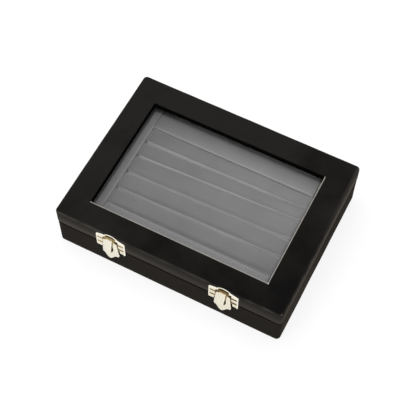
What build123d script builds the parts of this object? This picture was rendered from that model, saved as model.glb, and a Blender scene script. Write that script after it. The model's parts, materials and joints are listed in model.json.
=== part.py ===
from build123d import *
import math
import os

# A velvet-covered cufflink box with a glass lid, two front clasps and two rear hinges.
# Millimetres. X runs right, Y to the back, Z up. The origin is the centre of the underside.

# Overall box
lid_width = 200.0
lid_depth = 150.0
box_height = 46.5
base_height = 29.8
seam_gap = 0.1
base_inset = 0.2
corner_radius = 4.5
lid_top_radius = 2.0
lid_rim_radius = 1.5
base_rim_radius = 0.9
base_foot_radius = 1.2

# Boards and cloth
cloth = 0.8
wall = 6.0
bottom_board = 3.0
top_board = 4.0
felt = 0.6
felt_inset = 3.0
turned_edge = 9.0

# Window and glass
window_margin_left = 21.4
window_margin_right = 22.4
window_margin_front = 20.6
window_margin_back = 22.2
window_edge_radius = 0.6
glass_thickness = 2.0
glass_lap = 6.0
glass_gap = 0.3
lining_thickness = 1.5
lining_set_back = 1.2

# Insert with its rolls, named from the front to the back
riser_height = 7.0
riser_width = 10.0
insert_floor_thickness = 2.0
insert_below_rim = 1.0
insert_gap = 0.3
border_side = 18.0
border_front = 26.9
border_edge_radius = 1.2
roll_widths = (17.5, 17.3, 18.4, 13.8, 14.3)
roll_gap = 0.3
roll_below_rim = 0.2
roll_crown = 2.6
roll_foot_share = 0.84
roll_shoulder_share = 0.88
roll_end_length = 5.0
roll_end_share = 0.86
roll_end_swell = 0.02

# Rear hinges
hinge_spacing = 110.0
hinge_width = 24.0
hinge_leaf_height = 11.0
hinge_leaf_thickness = 0.8
hinge_knuckle_radius = 1.7
hinge_pin_radius = 0.75
hinge_pin_clearance = 0.05
hinge_axis_behind = 1.95
hinge_knuckle_share = 0.34
hinge_side_clearance = 0.2
hinge_root_clearance = 0.35
hinge_root_rise = 0.5
hinge_corner_radius = 1.5
hinge_nail_radius = 1.1
hinge_nail_height = 0.6
hinge_nail_spacing = 15.0
hinge_nail_reach = 6.6

# Front clasps
clasp_spacing = 99.5
clasp_shift = 0.9
plate_sheet = 0.6
plate_pad = 0.6
plate_half_width = 12.9
plate_top_above_lid = 1.7
plate_wing_top_below_lid = 2.1
plate_wing_bottom_below_seam = 3.7
plate_center_above_seam = 1.6
plate_arch_band = 1.6
plate_arch_pad = 0.5
plate_chamfer = 0.3
plate_arch_half = 6.2
plate_arch_crown = 3.7
plate_arch_foot_rise = 1.4
plate_top_corner = 0.8
plate_low_corner = 1.8
plate_wing_inner_rise = 0.5
arch_pad_half = 5.6
pad_inset = 0.2
plate_groove_radius = 0.8
plate_groove_depth = 0.45
groove_inner_margin = 1.0
groove_outer_margin = 1.4
clasp_axis_below_lid = 1.5
clasp_axis_out = 1.35
clasp_pin_radius = 0.55
clasp_pin_clearance = 0.07
clasp_knuckle_radius = 1.1
clasp_knuckle_half = 3.0
clasp_ear_width = 1.3
clasp_side_gap = 0.3
flap_sheet = 0.7
flap_length = 26.9
flap_neck_drop = 1.3
flap_shoulder_half = 6.0
flap_shoulder_drop = 4.4
flap_foot_half = 7.65
flap_curve_radius = 14.0
flap_out_top = 2.7
flap_out_foot = 4.4
flap_ear_rise = 3.6
flap_ear_corner = 1.0
flap_notch_rise = 4.7
flap_notch_half = 5.3
tongue_half = 2.0
tongue_rise = 1.9
tongue_top_drop = 2.0
tongue_foot_drop = 16.5
slit_width_top = 0.3
slit_width_foot = 0.8
slit_end_inset = 0.65
slit_wide_share = 0.3
keeper_width = 10.0
keeper_height = 8.0
keeper_sheet = 0.6
keeper_corner_radius = 1.0
keeper_below_rim = 1.4
keeper_bead_radius = 1.6
keeper_bead_length = 6.0
keeper_bead_margin = 0.2
keeper_nail_half = 3.0
keeper_nail_rise = 2.0
plate_nail_half = 4.0
small_nail_radius = 0.8
small_nail_height = 0.35
nail_crown_share = 0.6
nail_sides = 12

# Levels worked out from the sizes above
base_top = base_height
lid_bottom = base_height + seam_gap
lid_top = box_height
seam = base_height + seam_gap / 2
base_width = lid_width - 2 * base_inset
base_depth = lid_depth - 2 * base_inset
board_bottom = felt + cloth
board_top = board_bottom + bottom_board
rim_board_top = base_top - cloth
rail_top = lid_top - cloth
rail_bottom = rail_top - top_board
glass_top = rail_bottom - cloth
glass_bottom = glass_top - glass_thickness
lining_bottom = glass_bottom - lining_thickness
floor_bottom = board_top + riser_height
floor_top = floor_bottom + insert_floor_thickness
insert_top = base_top - insert_below_rim
roll_top = base_top - roll_below_rim
front = -lid_depth / 2
back = lid_depth / 2

# Inner half sizes
base_in_x = base_width / 2 - cloth - wall
base_in_y = base_depth / 2 - cloth - wall
tray_x = base_in_x - cloth
tray_y = base_in_y - cloth
lid_in_x = lid_width / 2 - cloth - wall
lid_in_y = lid_depth / 2 - cloth - wall
lid_cavity_x = lid_in_x - cloth
lid_cavity_y = lid_in_y - cloth

# Window limits
window_x0 = -lid_width / 2 + window_margin_left
window_x1 = lid_width / 2 - window_margin_right
window_y0 = front + window_margin_front
window_y1 = back - window_margin_back

# Roll bay
bay_half_x = tray_x - border_side
bay_y0 = -tray_y + border_front
bay_y1 = bay_y0 + sum(roll_widths)

# Hinge and clasp axes
hinge_axis_y = back + hinge_axis_behind
clasp_axis_z = lid_top - clasp_axis_below_lid
clasp_axis_y = front - clasp_axis_out
clasp_ear_inner = clasp_knuckle_half + clasp_side_gap
clasp_ear_outer = clasp_ear_inner + clasp_ear_width
wing_top = lid_top - plate_wing_top_below_lid
wing_low = seam - plate_wing_bottom_below_seam
plate_middle = seam + plate_center_above_seam
arch_top = lid_top + plate_top_above_lid
plate_window_top = arch_top - plate_arch_band
flap_foot = clasp_axis_z - flap_length
hinge_centers = {"left": -hinge_spacing / 2, "right": hinge_spacing / 2}
clasp_centers = {
    "left": clasp_shift - clasp_spacing / 2,
    "right": clasp_shift + clasp_spacing / 2,
}


def corner_arc(start, corner, end):
    """An arc that rounds a corner from start to end."""
    middle = tuple(a / 4 + b / 2 + c / 4 for a, b, c in zip(start, corner, end))
    return ThreePointArc(start, middle, end)


def block(x0, x1, y0, y1, z0, z1):
    """A box between two corners."""
    size = Box(x1 - x0, y1 - y0, z1 - z0)
    return Pos((x0 + x1) / 2, (y0 + y1) / 2, (z0 + z1) / 2) * size


def slab(width, depth, radius, z0, z1):
    """A rounded rectangle centred on the origin, between two levels."""
    return extrude(Pos(0, 0, z0) * RectangleRounded(width, depth, radius), z1 - z0)


def top_edges(solid):
    """The highest group of edges."""
    return solid.edges().group_by(Axis.Z)[-1]


def bottom_edges(solid):
    """The lowest group of edges."""
    return solid.edges().group_by(Axis.Z)[0]


def mitred_strip(side, outer_x, outer_y, inner, z0, z1):
    """One side of a picture frame with mitred ends. inner is x0, x1, y0, y1 of its opening."""
    x0, x1, y0, y1 = inner
    outer = [(-outer_x, -outer_y), (outer_x, -outer_y), (outer_x, outer_y), (-outer_x, outer_y)]
    hole = [(x0, y0), (x1, y0), (x1, y1), (x0, y1)]
    first = {"front": 0, "right": 1, "back": 2, "left": 3}[side]
    second = (first + 1) % 4
    outline = Polyline(outer[first], outer[second], hole[second], hole[first], close=True)
    return extrude(Pos(0, 0, z0) * make_face(outline), z1 - z0)


def front_sheet(outline, center_x, near, far):
    """An outline drawn in X and Z, made into a sheet between two distances out of the lid's front."""
    facing = Plane(origin=(center_x, front - near, 0), x_dir=(1, 0, 0), z_dir=(0, -1, 0))
    return extrude(facing * outline, far - near)


def cross_rod(center_x, y, z, radius, length):
    """A rod along X."""
    return Pos(center_x, y, z) * Rot(0, 90, 0) * Cylinder(radius, length)


# Base

def base_core():
    """The wooden block that the cloth of the base is drawn over."""
    width = base_width - 2 * cloth
    depth = base_depth - 2 * cloth
    return slab(width, depth, corner_radius - cloth, board_bottom, rim_board_top)


def base_walls():
    """Four walls: front and back run full width, the sides stand between them."""
    core = base_core()
    far_x = base_width / 2
    far_y = base_depth / 2
    z0 = board_bottom
    z1 = rim_board_top
    return {
        "base_front_wall": core & block(-far_x, far_x, -far_y, -base_in_y, z0, z1),
        "base_back_wall": core & block(-far_x, far_x, base_in_y, far_y, z0, z1),
        "base_left_wall": core & block(-far_x, -base_in_x, -base_in_y, base_in_y, z0, z1),
        "base_right_wall": core & block(base_in_x, far_x, -base_in_y, base_in_y, z0, z1),
    }


def base_board():
    """The bottom board, let in between the walls."""
    return block(-base_in_x, base_in_x, -base_in_y, base_in_y, board_bottom, board_top)


def base_cover():
    """The cloth round the outside, over the rim and turned down inside it."""
    shell = slab(base_width, base_depth, corner_radius, felt, base_top)
    shell = fillet(bottom_edges(shell), base_foot_radius)
    shell = fillet(top_edges(shell), base_rim_radius)
    tray = block(-tray_x, tray_x, -tray_y, tray_y, board_bottom, base_top)
    below = rim_board_top - turned_edge
    under_edge = block(-base_in_x, base_in_x, -base_in_y, base_in_y, board_bottom, below)
    return shell - base_core() - tray - under_edge + base_edge_leg()


def base_edge_leg():
    """The part of the cloth that lies against the inner faces of the walls."""
    below = rim_board_top - turned_edge
    leg = block(-base_in_x, base_in_x, -base_in_y, base_in_y, below, rim_board_top)
    return leg - block(-tray_x, tray_x, -tray_y, tray_y, below, rim_board_top)


def underside_felt():
    """The thin sheet that the box stands on."""
    width = base_width - 2 * felt_inset
    depth = base_depth - 2 * felt_inset
    return slab(width, depth, corner_radius, 0, felt)


def insert_risers():
    """Three strips that lift the insert's floor off the bottom board."""
    half = riser_width / 2
    far_x = tray_x - insert_gap
    far_y = tray_y - insert_gap
    strips = [block(-far_x, far_x, y - half, y + half, board_top, floor_bottom)
              for y in (half - far_y, 0, far_y - half)]
    return Compound(children=strips)


def insert_floor():
    """The board that carries the rolls and the borders."""
    far_x = tray_x - insert_gap
    far_y = tray_y - insert_gap
    return block(-far_x, far_x, -far_y, far_y, floor_bottom, floor_top)


def insert_borders():
    """Padded velvet borders: the sides run full depth, front and back lie between them."""
    far_x = tray_x - insert_gap
    far_y = tray_y - insert_gap
    limits = {
        "insert_border_left": (-far_x, -bay_half_x, -far_y, far_y),
        "insert_border_right": (bay_half_x, far_x, -far_y, far_y),
        "insert_border_front": (-bay_half_x, bay_half_x, -far_y, bay_y0),
        "insert_border_back": (-bay_half_x, bay_half_x, bay_y1, far_y),
    }
    borders = {}
    for name, (x0, x1, y0, y1) in limits.items():
        strip = block(x0, x1, y0, y1, floor_top, insert_top)
        borders[name] = fillet(top_edges(strip), border_edge_radius)
    return borders


def roll_section(width, height, share):
    """A padded roll cut across: flat foot, bulged sides and a crowned top."""
    half = width / 2 * share
    foot = half * roll_foot_share
    shoulder = half * roll_shoulder_share
    crown = roll_crown * share
    top = height - (1 - share) * roll_crown
    side = top - crown
    lines = [
        Line((-foot, 0), (foot, 0)),
        ThreePointArc((foot, 0), (half, side / 2), (shoulder, side)),
        ThreePointArc((shoulder, side), (0, top), (-shoulder, side)),
        ThreePointArc((-shoulder, side), (-half, side / 2), (-foot, 0)),
    ]
    return make_face(Curve() + lines)


def roll(y0, y1):
    """One roll, with its two ends drawn in."""
    width = y1 - y0 - roll_gap
    height = roll_top - floor_top
    end_x = bay_half_x - roll_gap
    middle_share = (1 + roll_end_share) / 2 + roll_end_swell
    stations = (
        (end_x, roll_end_share),
        (end_x - roll_end_length / 3, middle_share),
        (end_x - roll_end_length, 1.0),
    )
    sections = []
    for x, share in stations:
        across = Plane(origin=(x, (y0 + y1) / 2, floor_top), x_dir=(0, 1, 0), z_dir=(1, 0, 0))
        sections.append(across * roll_section(width, height, share))
    right_end = loft(sections, ruled=True)
    left_end = mirror(right_end, Plane.YZ)
    body = extrude(sections[-1], -2 * (end_x - roll_end_length))
    return body + right_end + left_end


def rolls():
    """The rolls from the front to the back."""
    made = {}
    y = bay_y0
    for number, width in enumerate(roll_widths, start=1):
        made[f"cufflink_roll_{number}"] = roll(y, y + width)
        y += width
    return made


# Lid

def lid_core():
    """The wooden block that the cloth of the lid is drawn over."""
    width = lid_width - 2 * cloth
    depth = lid_depth - 2 * cloth
    return slab(width, depth, corner_radius - cloth, lid_bottom + cloth, rail_top)


def lid_top_rails():
    """Four flat rails with mitred corners round the window."""
    core = lid_core()
    inner = (window_x0 - cloth, window_x1 + cloth, window_y0 - cloth, window_y1 + cloth)
    rails = {}
    for side in ("front", "right", "back", "left"):
        strip = mitred_strip(side, lid_width / 2, lid_depth / 2, inner, rail_bottom, rail_top)
        rails[f"lid_{side}_rail"] = core & strip
    return rails


def lid_skirts():
    """Four upright boards under the rails."""
    core = lid_core()
    far_x = lid_width / 2
    far_y = lid_depth / 2
    z0 = lid_bottom + cloth
    z1 = rail_bottom
    return {
        "lid_front_skirt": core & block(-far_x, far_x, -far_y, -lid_in_y, z0, z1),
        "lid_back_skirt": core & block(-far_x, far_x, lid_in_y, far_y, z0, z1),
        "lid_left_skirt": core & block(-far_x, -lid_in_x, -lid_in_y, lid_in_y, z0, z1),
        "lid_right_skirt": core & block(lid_in_x, far_x, -lid_in_y, lid_in_y, z0, z1),
    }


def lid_cover():
    """The cloth over the lid: outside, round the rim, through the window and under the rails."""
    shell = slab(lid_width, lid_depth, corner_radius, lid_bottom, lid_top)
    shell = fillet(top_edges(shell), lid_top_radius)
    shell = fillet(bottom_edges(shell), lid_rim_radius)
    shell -= block(window_x0, window_x1, window_y0, window_y1, rail_bottom - cloth, lid_top)
    inner_rim = [e for e in top_edges(shell) if abs(e.center().X) < lid_width / 2 - wall
                 and abs(e.center().Y) < lid_depth / 2 - wall]
    shell = fillet(inner_rim, window_edge_radius)
    for board in (*lid_top_rails().values(), *lid_skirts().values()):
        shell -= board
    shell -= block(-lid_in_x, lid_in_x, -lid_in_y, lid_in_y, glass_bottom, glass_top)
    return shell - block(-lid_cavity_x, lid_cavity_x, -lid_cavity_y, lid_cavity_y,
                         lid_bottom, glass_bottom)


def glass_limits():
    """The pane's edges: x0, x1, y0, y1."""
    return (window_x0 - glass_lap, window_x1 + glass_lap,
            window_y0 - glass_lap, window_y1 + glass_lap)


def glass_pane():
    """The pane that closes the window from below."""
    x0, x1, y0, y1 = glass_limits()
    return block(x0, x1, y0, y1, glass_bottom, glass_top)


def glass_packing():
    """Four card strips that fill the space between the pane and the skirts."""
    x0, x1, y0, y1 = glass_limits()
    inner = (x0 - glass_gap, x1 + glass_gap, y0 - glass_gap, y1 + glass_gap)
    strips = [mitred_strip(side, lid_in_x, lid_in_y, inner, glass_bottom, glass_top)
              for side in ("front", "right", "back", "left")]
    return Compound(children=strips)


def lid_linings():
    """Four velvet-covered strips that hold the pane up from inside."""
    inner = (window_x0 - lining_set_back, window_x1 + lining_set_back,
             window_y0 - lining_set_back, window_y1 + lining_set_back)
    strips = {}
    for side in ("front", "right", "back", "left"):
        strips[f"lid_{side}_lining"] = mitred_strip(
            side, lid_cavity_x, lid_cavity_y, inner, lining_bottom, glass_bottom)
    return strips


# Rear hinges

def knuckle_spans():
    """Half the middle knuckle, and the inner and outer end of each outer knuckle."""
    middle = hinge_width * hinge_knuckle_share / 2
    return middle, middle + hinge_side_clearance, hinge_width / 2


def hinge_leaf(center_x, face_y, upward):
    """One leaf on the back face. The lid's leaf has the middle knuckle, the base's the outer two."""
    middle, inner, outer = knuckle_spans()
    far_y = face_y + hinge_leaf_thickness
    clear = hinge_knuckle_radius + hinge_root_clearance
    leaf = block(-outer, outer, face_y, far_y, clear, hinge_leaf_height)
    leaf = fillet(leaf.edges().filter_by(Axis.Y).group_by(Axis.Z)[-1], hinge_corner_radius)
    spans = [(-middle, middle)] if upward else [(-outer, -inner), (inner, outer)]
    for x0, x1 in spans:
        leaf += block(x0, x1, face_y, far_y, hinge_root_rise, clear)
        leaf += cross_rod((x0 + x1) / 2, hinge_axis_y, 0, hinge_knuckle_radius, x1 - x0)
    bore = hinge_pin_radius + (hinge_pin_clearance if upward else 0)
    leaf -= cross_rod(0, hinge_axis_y, 0, bore, hinge_width)
    if not upward:
        leaf = mirror(leaf, Plane.XY)
    return Pos(center_x, 0, seam) * leaf


def hinge_pin(center_x):
    """The pin, held by the outer knuckles."""
    return cross_rod(center_x, hinge_axis_y, seam, hinge_pin_radius, hinge_width)


def hinge_nails(upward):
    """Two nail heads on each leaf of one kind."""
    face = (back if upward else base_depth / 2) + hinge_leaf_thickness
    z = seam + hinge_nail_reach if upward else seam - hinge_nail_reach
    heads = []
    for center in hinge_centers.values():
        for side in (-1, 1):
            x = center + side * hinge_nail_spacing / 2
            heads.append(nail_head(x, face, z, 1, hinge_nail_radius, hinge_nail_height))
    return Compound(children=heads)


def nail_head(x, y, z, direction, radius, height):
    """A low bevelled head standing out along Y from a face."""
    foot = RegularPolygon(radius, nail_sides)
    crown = Pos(0, 0, height) * RegularPolygon(radius * nail_crown_share, nail_sides)
    return Pos(x, y, z) * Rot(-90 * direction, 0, 0) * loft([foot, crown], ruled=True)


# Front clasps

def mirrored_outline(right_half):
    """A closed outline from its right half, given from the top centre to the bottom centre."""
    left_half = mirror(right_half, Plane.YZ)
    return make_face(right_half + left_half)


def plate_outline():
    """The winged plate: an arch over the flap's knuckle, and a wing each side across the seam."""
    half = plate_half_width
    inner = flap_foot_half + clasp_side_gap
    arch_foot = (plate_arch_half, wing_top + plate_arch_foot_rise)
    top_start = (half - plate_top_corner, wing_top)
    top_end = (half, wing_top - plate_top_corner)
    low_start = (half, wing_low + plate_low_corner)
    low_end = (half - plate_low_corner, wing_low)
    inner_low = (inner, wing_low + plate_wing_inner_rise)
    right = Curve() + [
        corner_arc((0, arch_top), (plate_arch_crown, arch_top), arch_foot),
        Line(arch_foot, top_start),
        corner_arc(top_start, (half, wing_top), top_end),
        Line(top_end, low_start),
        corner_arc(low_start, (half, wing_low), low_end),
        Line(low_end, inner_low),
        Line(inner_low, (inner, plate_middle)),
        Line((inner, plate_middle), (0, plate_middle)),
    ]
    return mirrored_outline(right)


def pad_outline():
    """The raised right wing, clear of the flap's edge."""
    half = plate_half_width
    cut = plate_low_corner / 3
    corners = [
        (plate_arch_half + clasp_side_gap, wing_top + plate_arch_foot_rise - pad_inset),
        (half - plate_top_corner, wing_top),
        (half, wing_top - plate_top_corner),
        (half, wing_low + plate_low_corner),
        (half - cut, wing_low + cut),
        (half - plate_low_corner, wing_low),
        (flap_foot_half + clasp_side_gap, wing_low + plate_wing_inner_rise),
    ]
    return make_face(Polyline(*corners, close=True))


def wing_pad():
    """The right wing's raised pad, bevelled round its edge and grooved across into three lobes."""
    pad = front_sheet(pad_outline(), 0, plate_sheet, plate_sheet + plate_pad)
    pad = chamfer(pad.faces().sort_by(Axis.Y)[0].edges(), plate_chamfer)
    lobe = (wing_top - wing_low) / 3
    x0 = flap_foot_half + groove_inner_margin
    x1 = plate_half_width - groove_outer_margin
    y = front - plate_sheet - plate_pad - plate_groove_radius + plate_groove_depth
    for level in (wing_low + lobe, wing_low + 2 * lobe):
        pad -= cross_rod((x0 + x1) / 2, y, level, plate_groove_radius, x1 - x0)
    return pad


def arch_pad():
    """The thickened arch above the flap's knuckle."""
    band = front_sheet(plate_outline(), 0, plate_sheet, plate_sheet + plate_arch_pad)
    return band & block(-arch_pad_half, arch_pad_half, 2 * front, front, plate_window_top, 2 * lid_top)


def plate_ear(direction):
    """One ear that holds an end of the flap's pin."""
    x = direction * (clasp_ear_inner + clasp_ear_outer) / 2
    half = clasp_ear_width / 2
    z0 = clasp_axis_z - clasp_knuckle_radius
    z1 = clasp_axis_z + clasp_knuckle_radius
    ear = cross_rod(x, clasp_axis_y, clasp_axis_z, clasp_knuckle_radius, clasp_ear_width)
    return ear + block(x - half, x + half, clasp_axis_y, front - plate_sheet, z0, z1)


def clasp_plate(center_x):
    """The plate that is nailed to the lid and carries the flap's pin."""
    pad = wing_pad()
    plate = front_sheet(plate_outline(), 0, 0, plate_sheet) + pad + mirror(pad, Plane.YZ) + arch_pad()
    window_low = clasp_axis_z - clasp_knuckle_radius - clasp_side_gap
    side = clasp_ear_inner
    plate -= block(-side, side, front - plate_sheet, front, window_low, plate_window_top)
    plate += plate_ear(-1) + plate_ear(1)
    plate -= cross_rod(0, clasp_axis_y, clasp_axis_z, clasp_pin_radius, 2 * clasp_ear_outer)
    return Pos(center_x, 0, 0) * plate


def clasp_pin(center_x):
    """The pin through the ears, on which the flap swings."""
    return cross_rod(center_x, clasp_axis_y, clasp_axis_z, clasp_pin_radius, 2 * clasp_ear_outer)


def flap_outline():
    """The shield: neck, round shoulders, splayed sides and a foot with a point between two ears."""
    top = clasp_axis_z
    neck_low = (clasp_knuckle_half, top - flap_neck_drop)
    shoulder = (flap_shoulder_half, top - flap_shoulder_drop)
    ear = flap_foot + flap_ear_rise
    ear_start = (flap_foot_half, ear + flap_ear_corner)
    ear_end = (flap_foot_half - flap_ear_corner, ear)
    notch = (flap_notch_half, flap_foot + flap_notch_rise)
    right = Curve() + [
        Line((0, top), (clasp_knuckle_half, top)),
        Line((clasp_knuckle_half, top), neck_low),
        corner_arc(neck_low, (flap_shoulder_half, top - flap_neck_drop), shoulder),
        Line(shoulder, ear_start),
        corner_arc(ear_start, (flap_foot_half, ear), ear_end),
        Line(ear_end, notch),
        Line(notch, (0, flap_foot)),
    ]
    return mirrored_outline(right)


def slit_outline():
    """The opening round the tongue: narrow at the top, wide above its pointed foot."""
    top = clasp_axis_z - tongue_top_drop - slit_end_inset
    low = clasp_axis_z - tongue_foot_drop + slit_end_inset
    wide_level = low + (top - low) * slit_wide_share
    right = Curve() + [
        Line((0, top), (tongue_half + slit_width_top, top)),
        Line((tongue_half + slit_width_top, top), (tongue_half + slit_width_foot, wide_level)),
        Line((tongue_half + slit_width_foot, wide_level), (tongue_half, low)),
        Line((tongue_half, low), (0, low)),
    ]
    return mirrored_outline(right)


def crown_out(level):
    """How far the shield's middle stands out from the lid's front at a level."""
    share = (clasp_axis_z - level) / flap_length
    return flap_out_top + (flap_out_foot - flap_out_top) * share


def flap_shield():
    """A sheet curved round an upright axis and leaned outward, cut to the shield's outline."""
    lean = math.degrees(math.atan2(flap_out_foot - flap_out_top, flap_length))
    outer = Cylinder(flap_curve_radius, 4 * flap_length)
    inner = Cylinder(flap_curve_radius - flap_sheet, 4 * flap_length)
    middle = front - flap_out_top + flap_curve_radius
    sheet = Pos(0, middle, clasp_axis_z) * Rot(-lean, 0, 0) * (outer - inner)
    shield = sheet & front_sheet(flap_outline(), 0, 0, 2 * flap_out_foot)
    return shield - front_sheet(slit_outline(), 0, 0, 2 * flap_out_foot)


def flap_tongue():
    """The bowed tongue between the slits, joined to the shield at both ends."""
    top = clasp_axis_z - tongue_top_drop
    low = clasp_axis_z - tongue_foot_drop
    middle = (top + low) / 2
    rise = crown_out(middle) + tongue_rise

    def bow(depth):
        return [(front - crown_out(top) + depth, top), (front - rise + depth, middle),
                (front - crown_out(low) + depth, low)]

    outer = bow(0)
    inner = bow(flap_sheet)
    outline = Curve() + [ThreePointArc(*outer), Line(outer[2], inner[2]),
                         ThreePointArc(*reversed(inner)), Line(inner[0], outer[0])]
    across = Plane(origin=(-tongue_half, 0, 0), x_dir=(0, 1, 0), z_dir=(1, 0, 0))
    return extrude(across * make_face(outline), 2 * tongue_half)


def clasp_flap(center_x):
    """The swinging flap: a curved shield with a bowed tongue, hung on the pin."""
    flap = flap_shield() + flap_tongue()
    flap += cross_rod(0, clasp_axis_y, clasp_axis_z, clasp_knuckle_radius, 2 * clasp_knuckle_half)
    bore = clasp_pin_radius + clasp_pin_clearance
    flap -= cross_rod(0, clasp_axis_y, clasp_axis_z, bore, 2 * clasp_knuckle_half)
    return Pos(center_x, 0, 0) * flap


def clasp_keeper(center_x):
    """The catch plate on the base, with a half-round bead that the flap closes over."""
    top = base_top - keeper_below_rim
    face = -base_depth / 2
    half = keeper_width / 2
    plate = block(-half, half, face - keeper_sheet, face, top - keeper_height, top)
    plate = fillet(plate.edges().filter_by(Axis.Y), keeper_corner_radius)
    bead_z = top - keeper_bead_radius - keeper_bead_margin
    bead = cross_rod(0, face - keeper_sheet, bead_z, keeper_bead_radius, keeper_bead_length)
    out = front_sheet(Pos(0, bead_z) * Rectangle(keeper_width, keeper_height), 0,
                      keeper_sheet - base_inset, keeper_height)
    return Pos(center_x, 0, 0) * (plate + (bead & out))


def keeper_nails():
    """Two nail heads under each bead."""
    z = base_top - keeper_below_rim - keeper_height + keeper_nail_rise
    y = -base_depth / 2 - keeper_sheet
    heads = [nail_head(center + side * keeper_nail_half, y, z, -1, small_nail_radius, small_nail_height)
             for center in clasp_centers.values() for side in (-1, 1)]
    return Compound(children=heads)


def plate_nails():
    """Two nail heads in the middle of each plate, behind the flap."""
    z = (plate_middle + clasp_axis_z) / 2
    y = front - plate_sheet
    heads = [nail_head(center + side * plate_nail_half, y, z, -1, small_nail_radius, small_nail_height)
             for center in clasp_centers.values() for side in (-1, 1)]
    return Compound(children=heads)


def all_nodes():
    """Every piece by its node's name."""
    nodes = {
        "underside_felt": underside_felt(),
        "base_bottom_board": base_board(),
        **base_walls(),
        "base_velvet_cover": base_cover(),
        "insert_risers": insert_risers(),
        "insert_floor": insert_floor(),
        **insert_borders(),
        **rolls(),
        **lid_top_rails(),
        **lid_skirts(),
        "lid_velvet_cover": lid_cover(),
        "glass_pane": glass_pane(),
        "glass_packing_strips": glass_packing(),
        **lid_linings(),
        "hinge_base_nails": hinge_nails(False),
        "hinge_lid_nails": hinge_nails(True),
        "clasp_keeper_nails": keeper_nails(),
        "clasp_plate_nails": plate_nails(),
    }
    for side, x in hinge_centers.items():
        nodes[f"hinge_{side}_base_leaf"] = hinge_leaf(x, base_depth / 2, False)
        nodes[f"hinge_{side}_lid_leaf"] = hinge_leaf(x, back, True)
        nodes[f"hinge_{side}_pin"] = hinge_pin(x)
    for side, x in clasp_centers.items():
        nodes[f"clasp_{side}_plate"] = clasp_plate(x)
        nodes[f"clasp_{side}_pin"] = clasp_pin(x)
        nodes[f"clasp_{side}_flap"] = clasp_flap(x)
        nodes[f"clasp_{side}_keeper"] = clasp_keeper(x)
    return nodes


os.makedirs("parts", exist_ok=True)
for name, solid in all_nodes().items():
    export_step(solid, f"parts/{name}.step")
print("hinge axis", hinge_axis_y, seam, "clasp axis", clasp_axis_y, clasp_axis_z)
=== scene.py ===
# %% [markdown]
# # A velvet cufflink box with a glass lid
# The real object is a shallow box covered in black velvet. A pane of glass is let
# into its lid, two plated clasps close the front, and grey velvet rolls inside hold cufflinks.
# The engineering model comes in first and stays fixed. Each visible skin is then built round
# it, so that every piece sits where the model says and moves with the right body.

# %% Load the fixed model
import json
import math

import bmesh
import bpy
import numpy as np
from mathutils import Matrix, Vector, noise


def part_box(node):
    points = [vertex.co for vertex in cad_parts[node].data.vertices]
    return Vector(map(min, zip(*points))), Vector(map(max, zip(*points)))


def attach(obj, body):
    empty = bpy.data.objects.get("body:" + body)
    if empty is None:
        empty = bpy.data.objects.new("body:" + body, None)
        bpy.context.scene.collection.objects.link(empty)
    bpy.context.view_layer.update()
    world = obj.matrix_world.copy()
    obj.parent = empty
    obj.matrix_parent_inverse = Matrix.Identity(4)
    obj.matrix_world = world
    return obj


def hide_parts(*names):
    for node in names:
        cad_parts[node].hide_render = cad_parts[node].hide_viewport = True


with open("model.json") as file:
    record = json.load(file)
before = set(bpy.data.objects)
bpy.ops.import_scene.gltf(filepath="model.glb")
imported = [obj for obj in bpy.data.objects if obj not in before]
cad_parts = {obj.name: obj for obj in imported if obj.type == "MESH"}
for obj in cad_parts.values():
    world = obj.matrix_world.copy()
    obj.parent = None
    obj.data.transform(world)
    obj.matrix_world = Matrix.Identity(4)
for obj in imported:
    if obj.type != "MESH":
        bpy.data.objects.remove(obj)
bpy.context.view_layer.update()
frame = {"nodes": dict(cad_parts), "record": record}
MM = 0.001

# %% [markdown]
# The photograph was taken from the front right, about 60 degrees above the table, with a long
# lens. A perspective camera at the worked-out place, aimed at the box's middle, gives the same
# outline. It is turned a little about its line of sight.

# %% Camera
camera_place = Vector((0.19219, -0.39693, 0.78933))
camera_aim = Vector((0.00043, -0.00318, 0.02))
camera_roll = math.radians(1.31)
camera_lens = 93.19

forward = (camera_aim - camera_place).normalized()
level_right = forward.cross(Vector((0, 0, 1))).normalized()
level_up = level_right.cross(forward)
right = level_right * math.cos(camera_roll) + level_up * math.sin(camera_roll)
upward = right.cross(forward)
camera = bpy.data.objects.new("camera", bpy.data.cameras.new("camera"))
camera.data.sensor_width = 36
camera.data.lens = camera_lens
camera_turn = Matrix((right, upward, -forward)).transposed().to_4x4()
camera.matrix_world = Matrix.Translation(camera_place) @ camera_turn
bpy.context.scene.collection.objects.link(camera)
bpy.context.scene.camera = camera
bpy.context.scene.view_settings.view_transform = "Standard"
print("camera", [round(v, 3) for v in camera_place])

# %% [markdown]
# A white studio has soft light from all round. The background looks white to the camera, and
# also to rays that glass and metal send out, while the cloth is lit by a softer grey. That
# keeps black velvet black.

# %% World
def new_node(tree, kind, **settings):
    """Adds a node and sets its properties and its inputs' values."""
    node = tree.nodes.new(kind)
    for key, value in settings.items():
        if key.startswith("in_"):
            node.inputs[key[3:].replace("_", " ")].default_value = value
        else:
            setattr(node, key, value)
    return node


def set_inputs(node, **values):
    """Sets a node's inputs by name, with _ for a space."""
    for key, value in values.items():
        node.inputs[key.replace("_", " ")].default_value = value


def wire(tree, *rows):
    """Links nodes. A row is (node, its output, next node, its input)."""
    for source, from_socket, target, to_socket in rows:
        tree.links.new(source.outputs[from_socket], target.inputs[to_socket])


def seen_directly(tree):
    """1 for camera, glossy and transmitted rays, otherwise 0."""
    path = new_node(tree, "ShaderNodeLightPath")
    either = new_node(tree, "ShaderNodeMath", operation="MAXIMUM")
    all_three = new_node(tree, "ShaderNodeMath", operation="MAXIMUM")
    wire(tree, (path, "Is Camera Ray", either, 0), (path, "Is Glossy Ray", either, 1),
         (either, 0, all_three, 0), (path, "Is Transmission Ray", all_three, 1))
    return all_three.outputs[0]


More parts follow.
